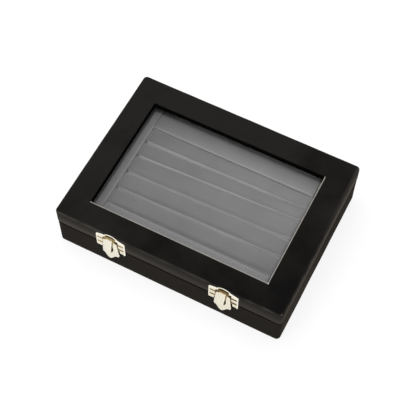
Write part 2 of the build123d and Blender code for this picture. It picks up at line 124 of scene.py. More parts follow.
world = bpy.data.worlds.new("white_studio")
world.use_nodes = True
bpy.context.scene.world = world
sky = world.node_tree
sky.nodes.clear()
sky_fill = 0.5
soft = new_node(sky, "ShaderNodeBackground", in_Color=(1, 1, 1, 1), in_Strength=sky_fill)
white = new_node(sky, "ShaderNodeBackground", in_Color=(1, 1, 1, 1), in_Strength=1.0)
choose = new_node(sky, "ShaderNodeMixShader")
out = new_node(sky, "ShaderNodeOutputWorld")
sky.links.new(seen_directly(sky), choose.inputs[0])
wire(sky, (soft, 0, choose, 1), (white, 0, choose, 2), (choose, 0, out, 0))
print("world nodes", len(sky.nodes))

# %% [markdown]
# Three lamps add direction to the even light: a broad one above, one in front for the lid's
# upright face and the clasps, and a weak one on the right. They are hidden from gloss and
# glass, which mirror the white studio alone.

# %% Lamps
def lamp(name, place, aim, size, power):
    """A square area lamp that faces a point. Glass and metal don't mirror it."""
    light = bpy.data.lights.new(name, "AREA")
    light.size = size
    light.energy = power
    thing = bpy.data.objects.new(name, light)
    thing.location = place
    thing.rotation_euler = (Vector(aim) - Vector(place)).to_track_quat("-Z", "Y").to_euler()
    thing.visible_glossy = thing.visible_transmission = False
    bpy.context.scene.collection.objects.link(thing)


box_middle = (0, 0, 0.02)
lamp("overhead_lamp", (-0.18, 0.16, 0.9), (-0.02, 0.01, 0), size=0.8, power=4.6)
lamp("right_lamp", (1.0, -0.1, 0.5), box_middle, size=0.6, power=0.4)
lamp("front_lamp", (-0.3, -1.0, 0.38), box_middle, size=0.6, power=4.2)

# %% [markdown]
# The floor is a plain white sheet. Its lit surface catches a faint shadow, and a white emission,
# for the camera, gloss and glass alone, lifts the rest to the photograph's clean background.

# %% Floor
floor_half = 3.0
floor_level = -0.0002
paper_grey = (0.22, 0.22, 0.22, 1)
paper_glow = 0.83


def new_material(name):
    """A material with its tree and its main shader."""
    material = bpy.data.materials.new(name)
    material.use_nodes = True
    return material, material.node_tree, material.node_tree.nodes["Principled BSDF"]


def floor_material():
    """White paper that stays white to the camera and keeps a soft shadow."""
    material, tree = new_material("white_paper")[:2]
    tree.nodes.clear()
    paper = new_node(tree, "ShaderNodeBsdfDiffuse", in_Color=paper_grey)
    glow = new_node(tree, "ShaderNodeEmission", in_Color=(1, 1, 1, 1), in_Strength=paper_glow)
    both = new_node(tree, "ShaderNodeAddShader")
    chosen = new_node(tree, "ShaderNodeMixShader")
    result = new_node(tree, "ShaderNodeOutputMaterial")
    wire(tree, (paper, 0, both, 0), (glow, 0, both, 1))
    tree.links.new(seen_directly(tree), chosen.inputs[0])
    wire(tree, (paper, 0, chosen, 1), (both, 0, chosen, 2), (chosen, 0, result, 0))
    return material


floor_corners = [(x * floor_half, y * floor_half, floor_level) for x, y in ((-1, -1), (1, -1), (1, 1), (-1, 1))]
floor_mesh = bpy.data.meshes.new("studio_floor")
floor_mesh.from_pydata(floor_corners, [], [(0, 1, 2, 3)])
studio_floor = bpy.data.objects.new("studio_floor", floor_mesh)
studio_floor.data.materials.append(floor_material())
bpy.context.scene.collection.objects.link(studio_floor)
print("floor material", studio_floor.data.materials[0].name)

# %% [markdown]
# Velvet is a forest of short fibres. It looks dark from above and lighter at a glancing angle,
# which the sheen layer gives. Clouds of brushed nap and a fine grain come from noise on the
# object's own coordinates. Each mesh carries two values for it. The first is painted light and
# shade: it moves the colour between its deep and its pale tone. The second mixes in a pale
# colour, for rubbed edges and for painted highlights.

# %% Cloth material
def cloth(name, deep, pale, wear_and_highlight, sheen, sheen_tint, cloud_size, grain_size, grain_height, fleck,
          gloss=0.12, cloudy=1.0):
    """Velvet or felt from a deep and a pale colour. Sizes are in metres, fleck and cloudy are shares."""
    material, tree, shader = new_material(name)
    where = new_node(tree, "ShaderNodeTexCoord")
    clouds = new_node(tree, "ShaderNodeTexNoise", in_Scale=1 / cloud_size, in_Detail=4.0, in_Roughness=0.6)
    grain = new_node(tree, "ShaderNodeTexNoise", in_Scale=1 / grain_size, in_Detail=2.0)
    spread = new_node(tree, "ShaderNodeMapRange", in_From_Min=0.3, in_From_Max=0.72,
                      in_To_Min=0.5 - cloudy / 2, in_To_Max=0.5 + cloudy / 2)
    speckle = new_node(tree, "ShaderNodeMapRange", in_From_Min=0.3, in_From_Max=0.7, in_To_Min=1 - fleck,
                       in_To_Max=1 + fleck)
    colour = new_node(tree, "ShaderNodeMix", data_type="RGBA")
    set_inputs(colour, A=(*deep, 1), B=(*pale, 1))
    # Painted light and shade: a value at each point moves the colour between deep and pale. A second value mixes in a
    # pale colour for worn edges and painted highlights.
    painted_shading_value = new_node(tree, "ShaderNodeAttribute", attribute_name="painted_shading")
    shading_shift = new_node(tree, "ShaderNodeMath", operation="ADD")
    edge = new_node(tree, "ShaderNodeAttribute", attribute_name="wear_and_highlight")
    wear_and_highlight_mix = new_node(tree, "ShaderNodeMix", data_type="RGBA")
    set_inputs(wear_and_highlight_mix, B=(*wear_and_highlight, 1))
    flecked = new_node(tree, "ShaderNodeVectorMath", operation="SCALE")
    bump = new_node(tree, "ShaderNodeBump", in_Strength=0.5, in_Distance=grain_height)
    wire(tree, (where, "Object", clouds, "Vector"), (where, "Object", grain, "Vector"),
         (clouds, "Fac", spread, "Value"), (grain, "Fac", speckle, "Value"), (spread, 0, shading_shift, 0),
         (painted_shading_value, "Fac", shading_shift, 1), (shading_shift, 0, colour, "Factor"),
         (colour, "Result", wear_and_highlight_mix, "A"), (edge, "Fac", wear_and_highlight_mix, "Factor"), (wear_and_highlight_mix, "Result", flecked, 0),
         (speckle, 0, flecked, "Scale"), (flecked, 0, shader, "Base Color"),
         (grain, "Fac", bump, "Height"), (bump, 0, shader, "Normal"))
    set_inputs(shader, Roughness=0.92, Specular_IOR_Level=gloss, Sheen_Weight=sheen, Sheen_Roughness=0.35,
               Sheen_Tint=(*sheen_tint, 1))
    return material


print("cloth takes a deep, a pale and a worn colour")

# %% [markdown]
# Five cloths come from that one recipe: the lid's velvet, which has the most sheen, the base's, a
# darker one for cloth that hardly any light reaches, the even grey velvet inside, and the
# coarser, duller felt below.

# %% Cloths
def linear(red, green, blue):
    """A colour as it is seen on a screen, 0 to 255, in the renderer's linear numbers."""
    parts = []
    for value in (red, green, blue):
        share = value / 255
        parts.append(share / 12.92 if share <= 0.04045 else ((share + 0.055) / 1.055) ** 2.4)
    return tuple(parts)


black_pile = {"wear_and_highlight": linear(215, 210, 200), "sheen_tint": (1.0, 0.80, 0.62), "cloud_size": 0.045,
              "grain_size": 0.00045, "grain_height": 0.00008, "fleck": 0.14}
black_velvet = cloth("black_velvet", linear(9, 8, 8), linear(30, 29, 27), sheen=0.17, **black_pile)
base_cloth = cloth("base_black_velvet", linear(9, 8, 8), linear(40, 38, 35), sheen=0.07, gloss=0.03, **black_pile)
shaded_velvet = cloth("shaded_black_velvet", linear(4, 4, 4), linear(10, 10, 9), sheen=0.0, gloss=0.0, **black_pile)
grey_velvet = cloth("grey_velvet", linear(92, 92, 93), linear(130, 129, 130), linear(215, 214, 214), sheen=0.08,
                    sheen_tint=(0.97, 0.97, 1.0), cloud_size=0.03, grain_size=0.0005, grain_height=0.000002,
                    fleck=0.0, cloudy=0.3)
felt = cloth("underside_felt", linear(24, 23, 23), linear(34, 33, 32), linear(50, 49, 47), sheen=0.1,
             sheen_tint=(1, 1, 1), cloud_size=0.02, grain_size=0.0008, grain_height=0.0002, fleck=0.14)
print("cloths", [m.name for m in (black_velvet, base_cloth, shaded_velvet, grey_velvet, felt)])

# %% [markdown]
# Every skin of the box is a set of rings. A ring is a rounded rectangle at one height, and two
# neighbouring rings have the same number of points, so quads join them. This follows the way
# the cloth is really drawn: round the side, over the edge and down into the opening.

# %% Ring helpers
side_points = 96
corner_points = 10
least_corner = 0.8 * MM


def loop(x0, x1, y0, y1, radius):
    """Points round a rectangle with rounded corners, anticlockwise from the front left."""
    centres = [(x0 + radius, y0 + radius, 180), (x1 - radius, y0 + radius, 270),
               (x1 - radius, y1 - radius, 0), (x0 + radius, y1 - radius, 90)]
    arcs = []
    for cx, cy, start in centres:
        angles = np.radians(start + np.linspace(0, 90, corner_points + 1))
        arcs.append(np.stack([cx + radius * np.cos(angles), cy + radius * np.sin(angles)], 1))
    points = []
    for index, arc in enumerate(arcs):
        following = arcs[(index + 1) % 4][0]
        steps = np.linspace(0, 1, side_points + 2)[1:-1, None]
        points += [arc, arc[-1] + (following - arc[-1]) * steps]
    return np.concatenate(points)


def inset_loop(half_x, half_y, radius, inset):
    """A centred loop, moved inward by an inset."""
    return loop(inset - half_x, half_x - inset, inset - half_y, half_y - inset, max(radius - inset, least_corner))


def at_height(points, z):
    """A flat loop raised to a height."""
    return np.column_stack([points, np.full(len(points), z)])


print("points in a ring", len(loop(-1, 1, -1, 1, 0.1)))

# %% [markdown]
# Each piece is a plain mesh with one material, smooth faces and its place in its points.

# %% Mesh helpers
def add_object(name, mesh, material):
    """Puts a mesh into the scene with one material and smooth faces."""
    mesh.polygons.foreach_set("use_smooth", [True] * len(mesh.polygons))
    mesh.materials.append(material)
    thing = bpy.data.objects.new(name, mesh)
    bpy.context.scene.collection.objects.link(thing)
    return thing


def mesh_object(name, verts, faces, material):
    """A mesh from its points and faces."""
    mesh = bpy.data.meshes.new(name)
    mesh.from_pydata(np.asarray(verts).tolist(), [], faces)
    mesh.update()
    return add_object(name, mesh, material)


def ring_shell(name, rings, material):
    """Joins rings into a skin."""
    count = len(rings[0])
    verts = np.concatenate(rings)
    faces = []
    for row in range(len(rings) - 1):
        for i in range(count):
            j = (i + 1) % count
            faces.append((row * count + i, row * count + j, (row + 1) * count + j, (row + 1) * count + i))
    return mesh_object(name, verts, faces, material)


def finish_mesh(thing, *modifiers):
    """Adds modifiers given as (kind, settings) and applies them."""
    for kind, settings in modifiers:
        modifier = thing.modifiers.new(kind.lower(), kind)
        for key, value in settings.items():
            setattr(modifier, key, value)
    made = bpy.data.meshes.new_from_object(thing.evaluated_get(bpy.context.evaluated_depsgraph_get()))
    old = thing.data
    thing.modifiers.clear()
    thing.data = made
    bpy.data.meshes.remove(old)
    return thing


print("mesh helpers: add_object, mesh_object, ring_shell, finish_mesh")

# %% [markdown]
# Cloth over a board is never quite flat, and its pile isn't even. So each skin's points can be
# moved a little by soft noise, and can carry numbers for the materials to read. At the end
# every piece is put under the body that carries it, and the solid it stands for is hidden.

# %% Point helpers
def roughen(thing, amount, size, seed):
    """Moves each point along its normal by soft noise, as cloth over a board is never quite flat."""
    shift = Vector((seed * 3.1, seed * 7.7, seed * 1.3))
    move_points(thing, [v.co + v.normal * (amount * noise.noise(v.co / size + shift)) for v in thing.data.vertices])


def unit(value):
    """A value held between 0 and 1."""
    return np.clip(value, 0, 1)


def bell(distance, width):
    """1 at no distance, falling softly to nothing beyond a width."""
    return np.exp(-(distance / width) ** 2)


def set_values(thing, name, values):
    """Stores a number at each point, such as how worn the pile is there."""
    attribute = thing.data.attributes.new(name, "FLOAT", "POINT")
    attribute.data.foreach_set("value", values.astype(np.float32))


def points_of(thing):
    """The mesh's points as an array."""
    flat = np.empty(len(thing.data.vertices) * 3, np.float32)
    thing.data.vertices.foreach_get("co", flat)
    return flat.reshape(-1, 3).astype(float)


def move_points(thing, points):
    """Puts the mesh's points at new places."""
    thing.data.vertices.foreach_set("co", np.asarray(points, np.float32).ravel())
    thing.data.update()


def shade_faces(thing, material, chosen):
    """Gives a second material to the faces whose centre is chosen, such as those deep in a gap."""
    thing.data.materials.append(material)
    for face in thing.data.polygons:
        if chosen(face.center):
            face.material_index = 1


def ride_for(thing, body, node):
    """Puts a piece under the body that carries it and hides the solid it stands for."""
    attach(thing, body)
    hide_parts(node)


print("half a width away", round(float(bell(0.5, 1.0)), 2))

# %% [markdown]
# The lid's velvet starts inside the lid, turns under the rim, rounds out above the seam, rises to
# a tighter top edge, crosses the frame and drops into the window. The rounding catches light
# as a pale band above the seam, so its curve is taller than it is deep.

# %% Lid shape
lid_low, lid_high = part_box("lid_velvet_cover")
pane_low, pane_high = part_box("glass_pane")
glass_lap = 6.0 * MM
lid_corner = 3.4 * MM
lid_top_round = 2.0 * MM
window_round = 0.6 * MM
rim_swell_height = 3.5 * MM
rim_swell_depth = 1.0 * MM
cavity_inset = 7.6 * MM
window = (pane_low.x + glass_lap, pane_high.x - glass_lap, pane_low.y + glass_lap, pane_high.y - glass_lap)


def lid_rings():
    """The lid skin's rings from inside the rim to the glass."""
    half_x, half_y = lid_high.x, lid_high.y
    z0, z1 = lid_low.z, lid_high.z
    turns = np.radians(np.linspace(0, 90, 9))
    section = [(cavity_inset, pane_low.z), (cavity_inset, z0 + 5 * MM), (cavity_inset, z0 + 1.4 * MM)]
    section += [(cavity_inset - MM * (1 - math.cos(t)), z0 + MM * (1 - math.sin(t))) for t in turns[1:]]
    section += [(d * MM, z0) for d in (5, 4, 3, 2.2)]
    section += [(rim_swell_depth * (1 - math.sin(t)), z0 + rim_swell_height * (1 - math.cos(t)))
                for t in np.radians(np.linspace(0, 90, 14))]
    section += [(0, z) for z in np.linspace(z0 + rim_swell_height, z1 - lid_top_round, 8)[1:-1]]
    section += [(lid_top_round * (1 - math.cos(t)), z1 - lid_top_round * (1 - math.sin(t))) for t in turns]
    rings = [at_height(inset_loop(half_x, half_y, lid_corner, d), z) for d, z in section]
    outer = rings[-1]
    x0, x1, y0, y1 = window
    r = window_round
    rim = at_height(loop(x0 - r, x1 + r, y0 - r, y1 + r, 1.0 * MM), z1)
    shares = np.concatenate([np.linspace(0, 0.94, 16)[1:], [0.96, 0.975, 0.99, 1.0]])
    rings += [outer + (rim - outer) * share for share in shares]
    for t in turns[1:]:
        d = r * (1 - math.sin(t))
        rings.append(at_height(loop(x0 - d, x1 + d, y0 - d, y1 + d, 0.8 * MM), z1 - r * (1 - math.cos(t))))
    for z in np.linspace(z1 - r, pane_high.z, 6)[1:]:
        rings.append(at_height(loop(x0, x1, y0, y1, 0.8 * MM), z))
    return rings


lid_velvet = ring_shell("lid_velvet", lid_rings(), black_velvet)
roughen(lid_velvet, 0.10 * MM, 14 * MM, 1)
roughen(lid_velvet, 0.03 * MM, 3 * MM, 2)
print("lid velvet points", len(lid_velvet.data.vertices))

# %% [markdown]
# Hands leave the pile paler along the edges, most on the corners, and a small pale spot sits on
# the front right corner. The thin pale line along the window is a painted highlight, the pale
# band above the seam is painted sheen, and the top and sides get painted light and shade in
# gradients. Rules on each point's place give these values, so they follow the shape when a size
# changes.

# %% Lid wear and painted light
side_depth = 2.5 * MM


def frame_wear(points, half_x, half_y, top, bottom):
    """Paler pile along the top edge, the lower edge and the upright corners."""
    over = np.minimum(np.abs(points[:, 2] - top + 0.6 * MM), np.abs(points[:, 2] - bottom - 0.6 * MM))
    side = np.minimum(half_x - np.abs(points[:, 0]), half_y - np.abs(points[:, 1]))
    corner = np.hypot(np.maximum(np.abs(points[:, 0]) - half_x + lid_corner, 0),
                      np.maximum(np.abs(points[:, 1]) - half_y + lid_corner, 0)) / lid_corner
    edge = bell(over, 0.8 * MM) * bell(side, 1.2 * MM)
    patch = np.array([0.6 + 0.7 * noise.noise(Vector(p) / (9 * MM)) for p in points])
    return edge * patch * (0.03 + 0.11 * unit(corner) ** 4)


def window_rim_highlight(points, top):
    """A painted highlight: a thin pale line on the window's front and right edges, where the velvet's rim catches
    light.
    """
    x0, x1, y0, y1 = window
    over_front = bell(points[:, 1] - y0 + 0.15 * MM, 0.4 * MM)
    over_right = bell(points[:, 0] - x1 - 0.25 * MM, 0.4 * MM) * 0.7
    along = (points[:, 0] > x0) & (points[:, 0] < x1 + MM) & (points[:, 1] > y0 - MM) & (points[:, 1] < y1)
    return np.maximum(over_front, over_right) * along * (points[:, 2] > top - 0.8 * MM)


def seam_sheen_band(level, leftward):
    """Painted sheen: the pale band low on the lid's front, where its rounding catches light. It is stronger on the
    left.
    """
    low_share = unit(1.2 - level / 0.8)
    band = 0.024 * low_share + 0.026 * bell(level - 0.33, 0.17)
    return band + leftward * (0.02 * low_share + 0.035 * unit(1 - level / 0.5))


x, y, z = points_of(lid_velvet).T
level = (z - lid_low.z) / (lid_high.z - lid_low.z)
on_front = y < lid_low.y + side_depth
on_right = x > lid_high.x - side_depth
on_top = z > lid_high.z - 1.5 * MM
pale_corner_spot = (lid_high.x - 1.5 * MM, lid_low.y + 1.5 * MM, lid_high.z)
from_corner = np.linalg.norm(points_of(lid_velvet) - pale_corner_spot, axis=1)
wear_and_highlight_mix = frame_wear(points_of(lid_velvet), lid_high.x, lid_high.y, lid_high.z, lid_low.z)
# Painted highlight along the window's front and right rims.
wear_and_highlight_mix += window_rim_highlight(points_of(lid_velvet), lid_high.z)
# A small pale spot on the front right top corner.
wear_and_highlight_mix += 0.3 * bell(from_corner, 0.6 * MM)
# Painted sheen low on the front, and painted light on the right side, paler towards the back.
wear_and_highlight_mix += on_front * seam_sheen_band(level, unit(-x / lid_high.x))
wear_and_highlight_mix += on_right * 0.03 * unit(y / lid_high.y)
set_values(lid_velvet, "wear_and_highlight", unit(wear_and_highlight_mix))
# Painted light and shade: the top lighter towards the back left, the front lighter low down, the right side lighter
# towards the back and darker higher up.
top_light_gradient = (y / lid_high.y - x / lid_high.x) * 0.34 + 0.14
side_light_gradient = np.where(on_front, 1.3 - level, 0.25 - 0.3 * level + 12 * y)
set_values(lid_velvet, "painted_shading", np.where(on_top, top_light_gradient, side_light_gradient))
print("lid worn", round(float(unit(wear_and_highlight_mix).mean()), 4))

# %% [markdown]
# Little light reaches the cloth inside the window, so it takes the darker velvet there.

# %% Lid velvet
skin_thick = 0.3 * MM


def in_window(at):
    """Whether a face of the lid lies in the window."""
    x0, x1, y0, y1 = window
    return x0 - 0.2 * MM < at.x < x1 and y0 < at.y < y1 + 0.2 * MM


shade_faces(lid_velvet, shaded_velvet, in_window)
finish_mesh(lid_velvet, ("SOLIDIFY", {"thickness": skin_thick, "offset": -1}))
ride_for(lid_velvet, "lid", "lid_velvet_cover")
print("lid velvet points", len(lid_velvet.data.vertices))

# %% [markdown]
# The base's velvet runs from under the box up the side, over the rim and a short way down
# inside, where its cut edge disappears behind the insert. Its uppermost edge lies in the lid's
# shadow, which the darker velvet deepens to the fine black line of the seam.

# %% Base velvet
base_low, base_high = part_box("base_velvet_cover")
base_corner = 3.5 * MM
base_rim_round = 0.9 * MM
base_foot_round = 1.2 * MM
tray_inset = 7.6 * MM
seam_shade = 0.75 * MM
seam_depth = 0.6 * MM


def base_rings():
    """The base skin's rings from the underside to the turned edge inside."""
    half_x, half_y = base_high.x, base_high.y
    z0, z1 = base_low.z, base_high.z
    turns = np.radians(np.linspace(0, 90, 9))
    section = [(d * MM, z0) for d in (6, 4.5, 3, 2)]
    section += [(base_foot_round * (1 - math.sin(t)), z0 + base_foot_round * (1 - math.cos(t))) for t in turns]
    section += [(0, z) for z in np.linspace(z0 + base_foot_round, z1 - base_rim_round, 22)[1:-1]]
    section += [(base_rim_round * (1 - math.cos(t)), z1 - base_rim_round * (1 - math.sin(t))) for t in turns]
    section += [(d * MM, z1) for d in (2, 3.5, 5, 6.4)]
    section += [(tray_inset - MM * (1 - math.sin(t)), z1 - MM * (1 - math.cos(t))) for t in turns[1:]]
    section += [(tray_inset, z) for z in np.linspace(z1 - 1.0 * MM, z1 - 9 * MM, 5)[1:]]
    return [at_height(inset_loop(half_x, half_y, base_corner, d), z) for d, z in section]


def in_seam(at):
    """Whether a face of the base lies in the gap below the lid."""
    return at.z > base_high.z - seam_shade and min(base_high.x - abs(at.x), base_high.y - abs(at.y)) < seam_depth


base_velvet = ring_shell("base_velvet", base_rings(), base_cloth)
roughen(base_velvet, 0.10 * MM, 16 * MM, 3)
roughen(base_velvet, 0.03 * MM, 3 * MM, 4)
x, y = points_of(base_velvet)[:, :2].T
# Painted shade and light: the right side darker towards the back, the front face lighter.
base_side_shading = np.where(x > base_high.x - side_depth, -0.35 - 18 * y, 0.5)
foot_wear = frame_wear(points_of(base_velvet), base_high.x, base_high.y, base_low.z, base_low.z)
set_values(base_velvet, "wear_and_highlight", foot_wear)
set_values(base_velvet, "painted_shading", np.where(y < base_low.y + side_depth, 1.0, base_side_shading))
shade_faces(base_velvet, shaded_velvet, in_seam)
finish_mesh(base_velvet, ("SOLIDIFY", {"thickness": skin_thick, "offset": -1}))
ride_for(base_velvet, "base", "base_velvet_cover")
print("base velvet points", len(base_velvet.data.vertices))

# %% [markdown]
# The insert's borders and the strips inside the lid are boards with velvet pulled over them.
# Each is a grid whose height falls away near its edges like the padding under tight cloth.

# %% Grid blocks
def edge_spacing(start, end, inner_step, edge_round):
    """Positions from start to end, closer together near both ends."""
    rounds = edge_round * (1 - np.cos(np.radians(np.linspace(0, 90, 7))))
    middle = np.linspace(start + edge_round, end - edge_round,
                         max(3, int((end - start - 2 * edge_round) / inner_step) + 1))
    return np.concatenate([start + rounds[:-1], middle, end - rounds[:-1][::-1]])


def grid_over(low, high, step_x, step_y, edge_round):
    """Positions across a box, and the grids of their x and y."""
    xs = edge_spacing(low.x, high.x, step_x, edge_round)
    ys = edge_spacing(low.y, high.y, step_y, edge_round)
    return xs, ys, *np.meshgrid(xs, ys, indexing="ij")


def grid_block(name, xs, ys, top, bottom, material, rows=4):
    """A closed block whose top height comes from a grid, with a flat bottom."""
    nx, ny = len(xs), len(ys)
    gx, gy = np.meshgrid(xs, ys, indexing="ij")
    verts = [np.stack([gx, gy, top], -1).reshape(-1, 3)]
    faces = [(i * ny + j, (i + 1) * ny + j, (i + 1) * ny + j + 1, i * ny + j + 1)
             for i in range(nx - 1) for j in range(ny - 1)]
    ring = ([(i, 0) for i in range(nx)] + [(nx - 1, j) for j in range(1, ny)]
            + [(i, ny - 1) for i in range(nx - 2, -1, -1)] + [(0, j) for j in range(ny - 2, 0, -1)])
    above = [i * ny + j for i, j in ring]
    total = nx * ny
    for row in range(1, rows + 1):
        share = row / rows
        verts.append(np.array([(gx[i, j], gy[i, j], top[i, j] + (bottom - top[i, j]) * share) for i, j in ring]))
        below = [total + k for k in range(len(ring))]
        total += len(ring)
        for k in range(len(ring)):
            m = (k + 1) % len(ring)
            faces.append((above[k], below[k], below[m], above[m]))
        above = below
    faces.append(tuple(above[::-1]))
    return mesh_object(name, np.concatenate(verts), faces, material)


print("spacing mm", np.round(edge_spacing(0, 10, 5, 2), 1))

# %% [markdown]
# Four bars border the rolls, each a little crowned and uneven, with a painted highlight as a pale
# line where they meet them, and painted light that grows towards the right. The rolls reach a
# little past their solids on the right, and the right border makes room for them.

# %% Padded borders
def fall(distance, radius):
    """How far a rounded edge has dropped at a distance in from the side."""
    near = unit(distance / radius)
    return radius * (1 - np.sqrt(1 - (1 - near) ** 2))


def padded_bar(name, low, high, edge_round, crown, seed, material):
    """A bar in a box, with rounded edges and a slightly crowned, uneven top."""
    xs, ys, gx, gy = grid_over(low, high, 1.5 * MM, 1.5 * MM, edge_round)
    from_side = np.minimum(np.minimum(gx - low.x, high.x - gx), np.minimum(gy - low.y, high.y - gy))
    span = min(high.x - low.x, high.y - low.y) / 2
    swell = crown * (1 - (1 - unit(from_side / span)) ** 2)
    ripple = np.array([[noise.noise(Vector((x, y, seed * 0.05)) / (11 * MM)) for y in ys] for x in xs])
    top = high.z - crown + swell - fall(from_side, edge_round) + ripple * 0.08 * MM
    return grid_block(name, xs, ys, np.minimum(top, high.z), low.z, material)


high_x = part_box("insert_border_right")[1].x
bar_round = 1.1 * MM
bar_crown = 0.35 * MM
roll_reach = 1.5 * MM
bay_x0, bay_x1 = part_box("cufflink_roll_1")[0].x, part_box("cufflink_roll_1")[1].x + roll_reach
bay_y0, bay_y1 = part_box("cufflink_roll_1")[0].y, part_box("cufflink_roll_5")[1].y
for index, side in enumerate(("front", "back", "left", "right")):
    node = f"insert_border_{side}"
    low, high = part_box(node)
    if side == "right":
        low.x += roll_reach
    bar = padded_bar(f"velvet_border_{side}", low, high, bar_round, bar_crown, index, grey_velvet)
    ride_for(bar, "base", node)
    x, y = points_of(bar)[:, :2].T
    # Painted light: the bars lighter towards the right and the left bar a little lighter. The pale line where they
    # meet the rolls is a painted highlight.
    rightward = x / high_x
    set_values(bar, "painted_shading", 0.2 + (0.35 if side == "back" else 0.1) * rightward)
    from_bay = np.maximum(np.maximum(bay_x0 - x, x - bay_x1), np.maximum(bay_y0 - y, y - bay_y1))
    edge_line = 0.2 * bell(from_bay - 0.4 * MM, 0.7 * MM)
    set_values(bar, "wear_and_highlight", unit((0.08 if side == "left" else 0.04) + 0.05 * rightward + edge_line))

# %% [markdown]
# The strips that hold the pane are mitred at the corners. A flat outline is pushed down to its
# thickness, and a bevel softens the edges where velvet turns over them.

# %% Strips inside the lid
def mitred_bar(name, outline, z0, z1, bevel, material):
    """A flat outline, thickened between two heights and bevelled."""
    mesh = bpy.data.meshes.new(name)
    shape = bmesh.new()
    flat = shape.faces.new([shape.verts.new((x, y, z0)) for x, y in outline])
    raised = bmesh.ops.extrude_face_region(shape, geom=[flat])["geom"]
    for item in raised:
        if isinstance(item, bmesh.types.BMVert):
            item.co.z = z1
    bmesh.ops.recalc_face_normals(shape, faces=shape.faces)
    shape.to_mesh(mesh)
    shape.free()
    thing = add_object(name, mesh, material)
    return finish_mesh(thing, ("BEVEL", {"width": bevel, "segments": 4, "limit_method": "ANGLE",
                                         "harden_normals": True}))


lining_reveal = 1.7 * MM
lining_round = 0.5 * MM
cavity_x, cavity_y = lid_high.x - cavity_inset, lid_high.y - cavity_inset
outer_corners = [(-cavity_x, -cavity_y), (cavity_x, -cavity_y), (cavity_x, cavity_y), (-cavity_x, cavity_y)]
hole = [edge + side * lining_reveal for edge, side in zip(window, (-1, 1, -1, 1))]
inner_corners = [(hole[0], hole[2]), (hole[1], hole[2]), (hole[1], hole[3]), (hole[0], hole[3])]
for index, side in enumerate(("front", "right", "back", "left")):
    node = f"lid_{side}_lining"
    low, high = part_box(node)
    following = (index + 1) % 4
    outline = [outer_corners[index], outer_corners[following], inner_corners[following], inner_corners[index]]
    strip = mitred_bar(f"velvet_lining_{side}", outline, low.z, high.z, lining_round, shaded_velvet)
    ride_for(strip, "lid", node)
print("lining hole", [round(v / MM, 1) for v in hole])

# %% [markdown]
# Each cufflink roll is a tube of velvet round soft filling, squeezed between its neighbours.
# The cloth solver blows up a slightly slim roll, so that its top crowns and its ends pucker, and
# a cap on the movement keeps it in its place. The solver works best on things as large as a
# bolster, so the roll is simulated enlarged and then shrunk again.

# %% Roll blanks
roll_margin = 0.3 * MM
roll_round = 1.7 * MM


def roll_blank(node, seed):
    """A slim roll with rounded edges, a little smaller than its solid."""
    low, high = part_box(node)
    low = low + Vector((roll_margin, roll_margin, 0))
    high = high - Vector((roll_margin - roll_reach, roll_margin, roll_margin))
    xs, ys, gx, gy = grid_over(low, high, 2.0 * MM, 1.2 * MM, roll_round)
    from_side = np.minimum(gy - low.y, high.y - gy)
    from_end = np.minimum(gx - low.x, high.x - gx)
    wave = np.array([[noise.noise(Vector((x / 3, y, seed)) / (12 * MM)) for y in ys] for x in xs])
    top = high.z - fall(from_side, roll_round) - fall(from_end, roll_round * 0.6) + wave * 0.25 * MM
    return grid_block(f"velvet_roll_{seed}", xs, ys, np.maximum(top, low.z + 2 * MM), low.z, grey_velvet, 8)


rolls = {number: roll_blank(f"cufflink_roll_{number}", number) for number in range(1, 6)}
print("roll blanks", [roll.name for roll in rolls.values()])

# %% [markdown]
# The solver needs cells of even size, which a voxel remesh gives. Pressure then fills the cloth,
# and each point may move only a set distance from where it was, so no roll leaves its place.

# %% Blowing up a roll
sim_scale = 20.0
roll_voxel = 1.1 * MM
roll_pressure = 4.0
roll_stiffness = 5.0
roll_frames = 20
roll_move = 0.7 * MM


def blow_up(thing):
    """Swells a closed cloth mesh with the solver and gives its points."""
    finish_mesh(thing, ("REMESH", {"mode": "VOXEL", "voxel_size": roll_voxel, "use_smooth_shade": True}))
    rest = points_of(thing)
    move_points(thing, rest * sim_scale)
    solver = thing.modifiers.new("cloth", "CLOTH")
    solver.settings.use_pressure = True
    solver.settings.uniform_pressure_force = roll_pressure
    solver.settings.effector_weights.gravity = 0
    solver.settings.quality = 4
    solver.settings.bending_stiffness = roll_stiffness
    solver.point_cache.frame_end = roll_frames
    scene = bpy.context.scene
    for number in range(1, roll_frames + 1):
        scene.frame_set(number)
    finish_mesh(thing)
    scene.frame_set(1)
    moved = points_of(thing) / sim_scale
    step = moved - rest
    length = np.linalg.norm(step, axis=1, keepdims=True)
    step *= np.minimum(1, roll_move / np.maximum(length, 1e-9))
    return rest + step


for number, roll in rolls.items():
    low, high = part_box(f"cufflink_roll_{number}")
    move_points(roll, np.clip(blow_up(roll), np.array(low), np.array(high + Vector((roll_reach, 0, 0)))))
    finish_mesh(roll, ("SMOOTH", {"factor": 0.5, "iterations": 6}),
                ("SUBSURF", {"levels": 1, "render_levels": 1}))
    print(roll.name, "points", len(roll.data.vertices))

# %% [markdown]
# In a filled box the creases between the rolls lie a little out of square. Each crease has its
# own slant, and points between two creases share theirs. The creases' edges get a painted
# highlight, and each roll is painted darker at its front and lighter towards the right.

# %% Cufflink rolls
def lean(points):
    """Moves the creases between rolls a little out of square, as they lie in a filled box."""
    shift = np.interp(points[:, 1], crease_levels, crease_slants) * points[:, 0] / bay_half
    return points + np.column_stack([np.zeros(len(points)), shift, np.zeros(len(points))])


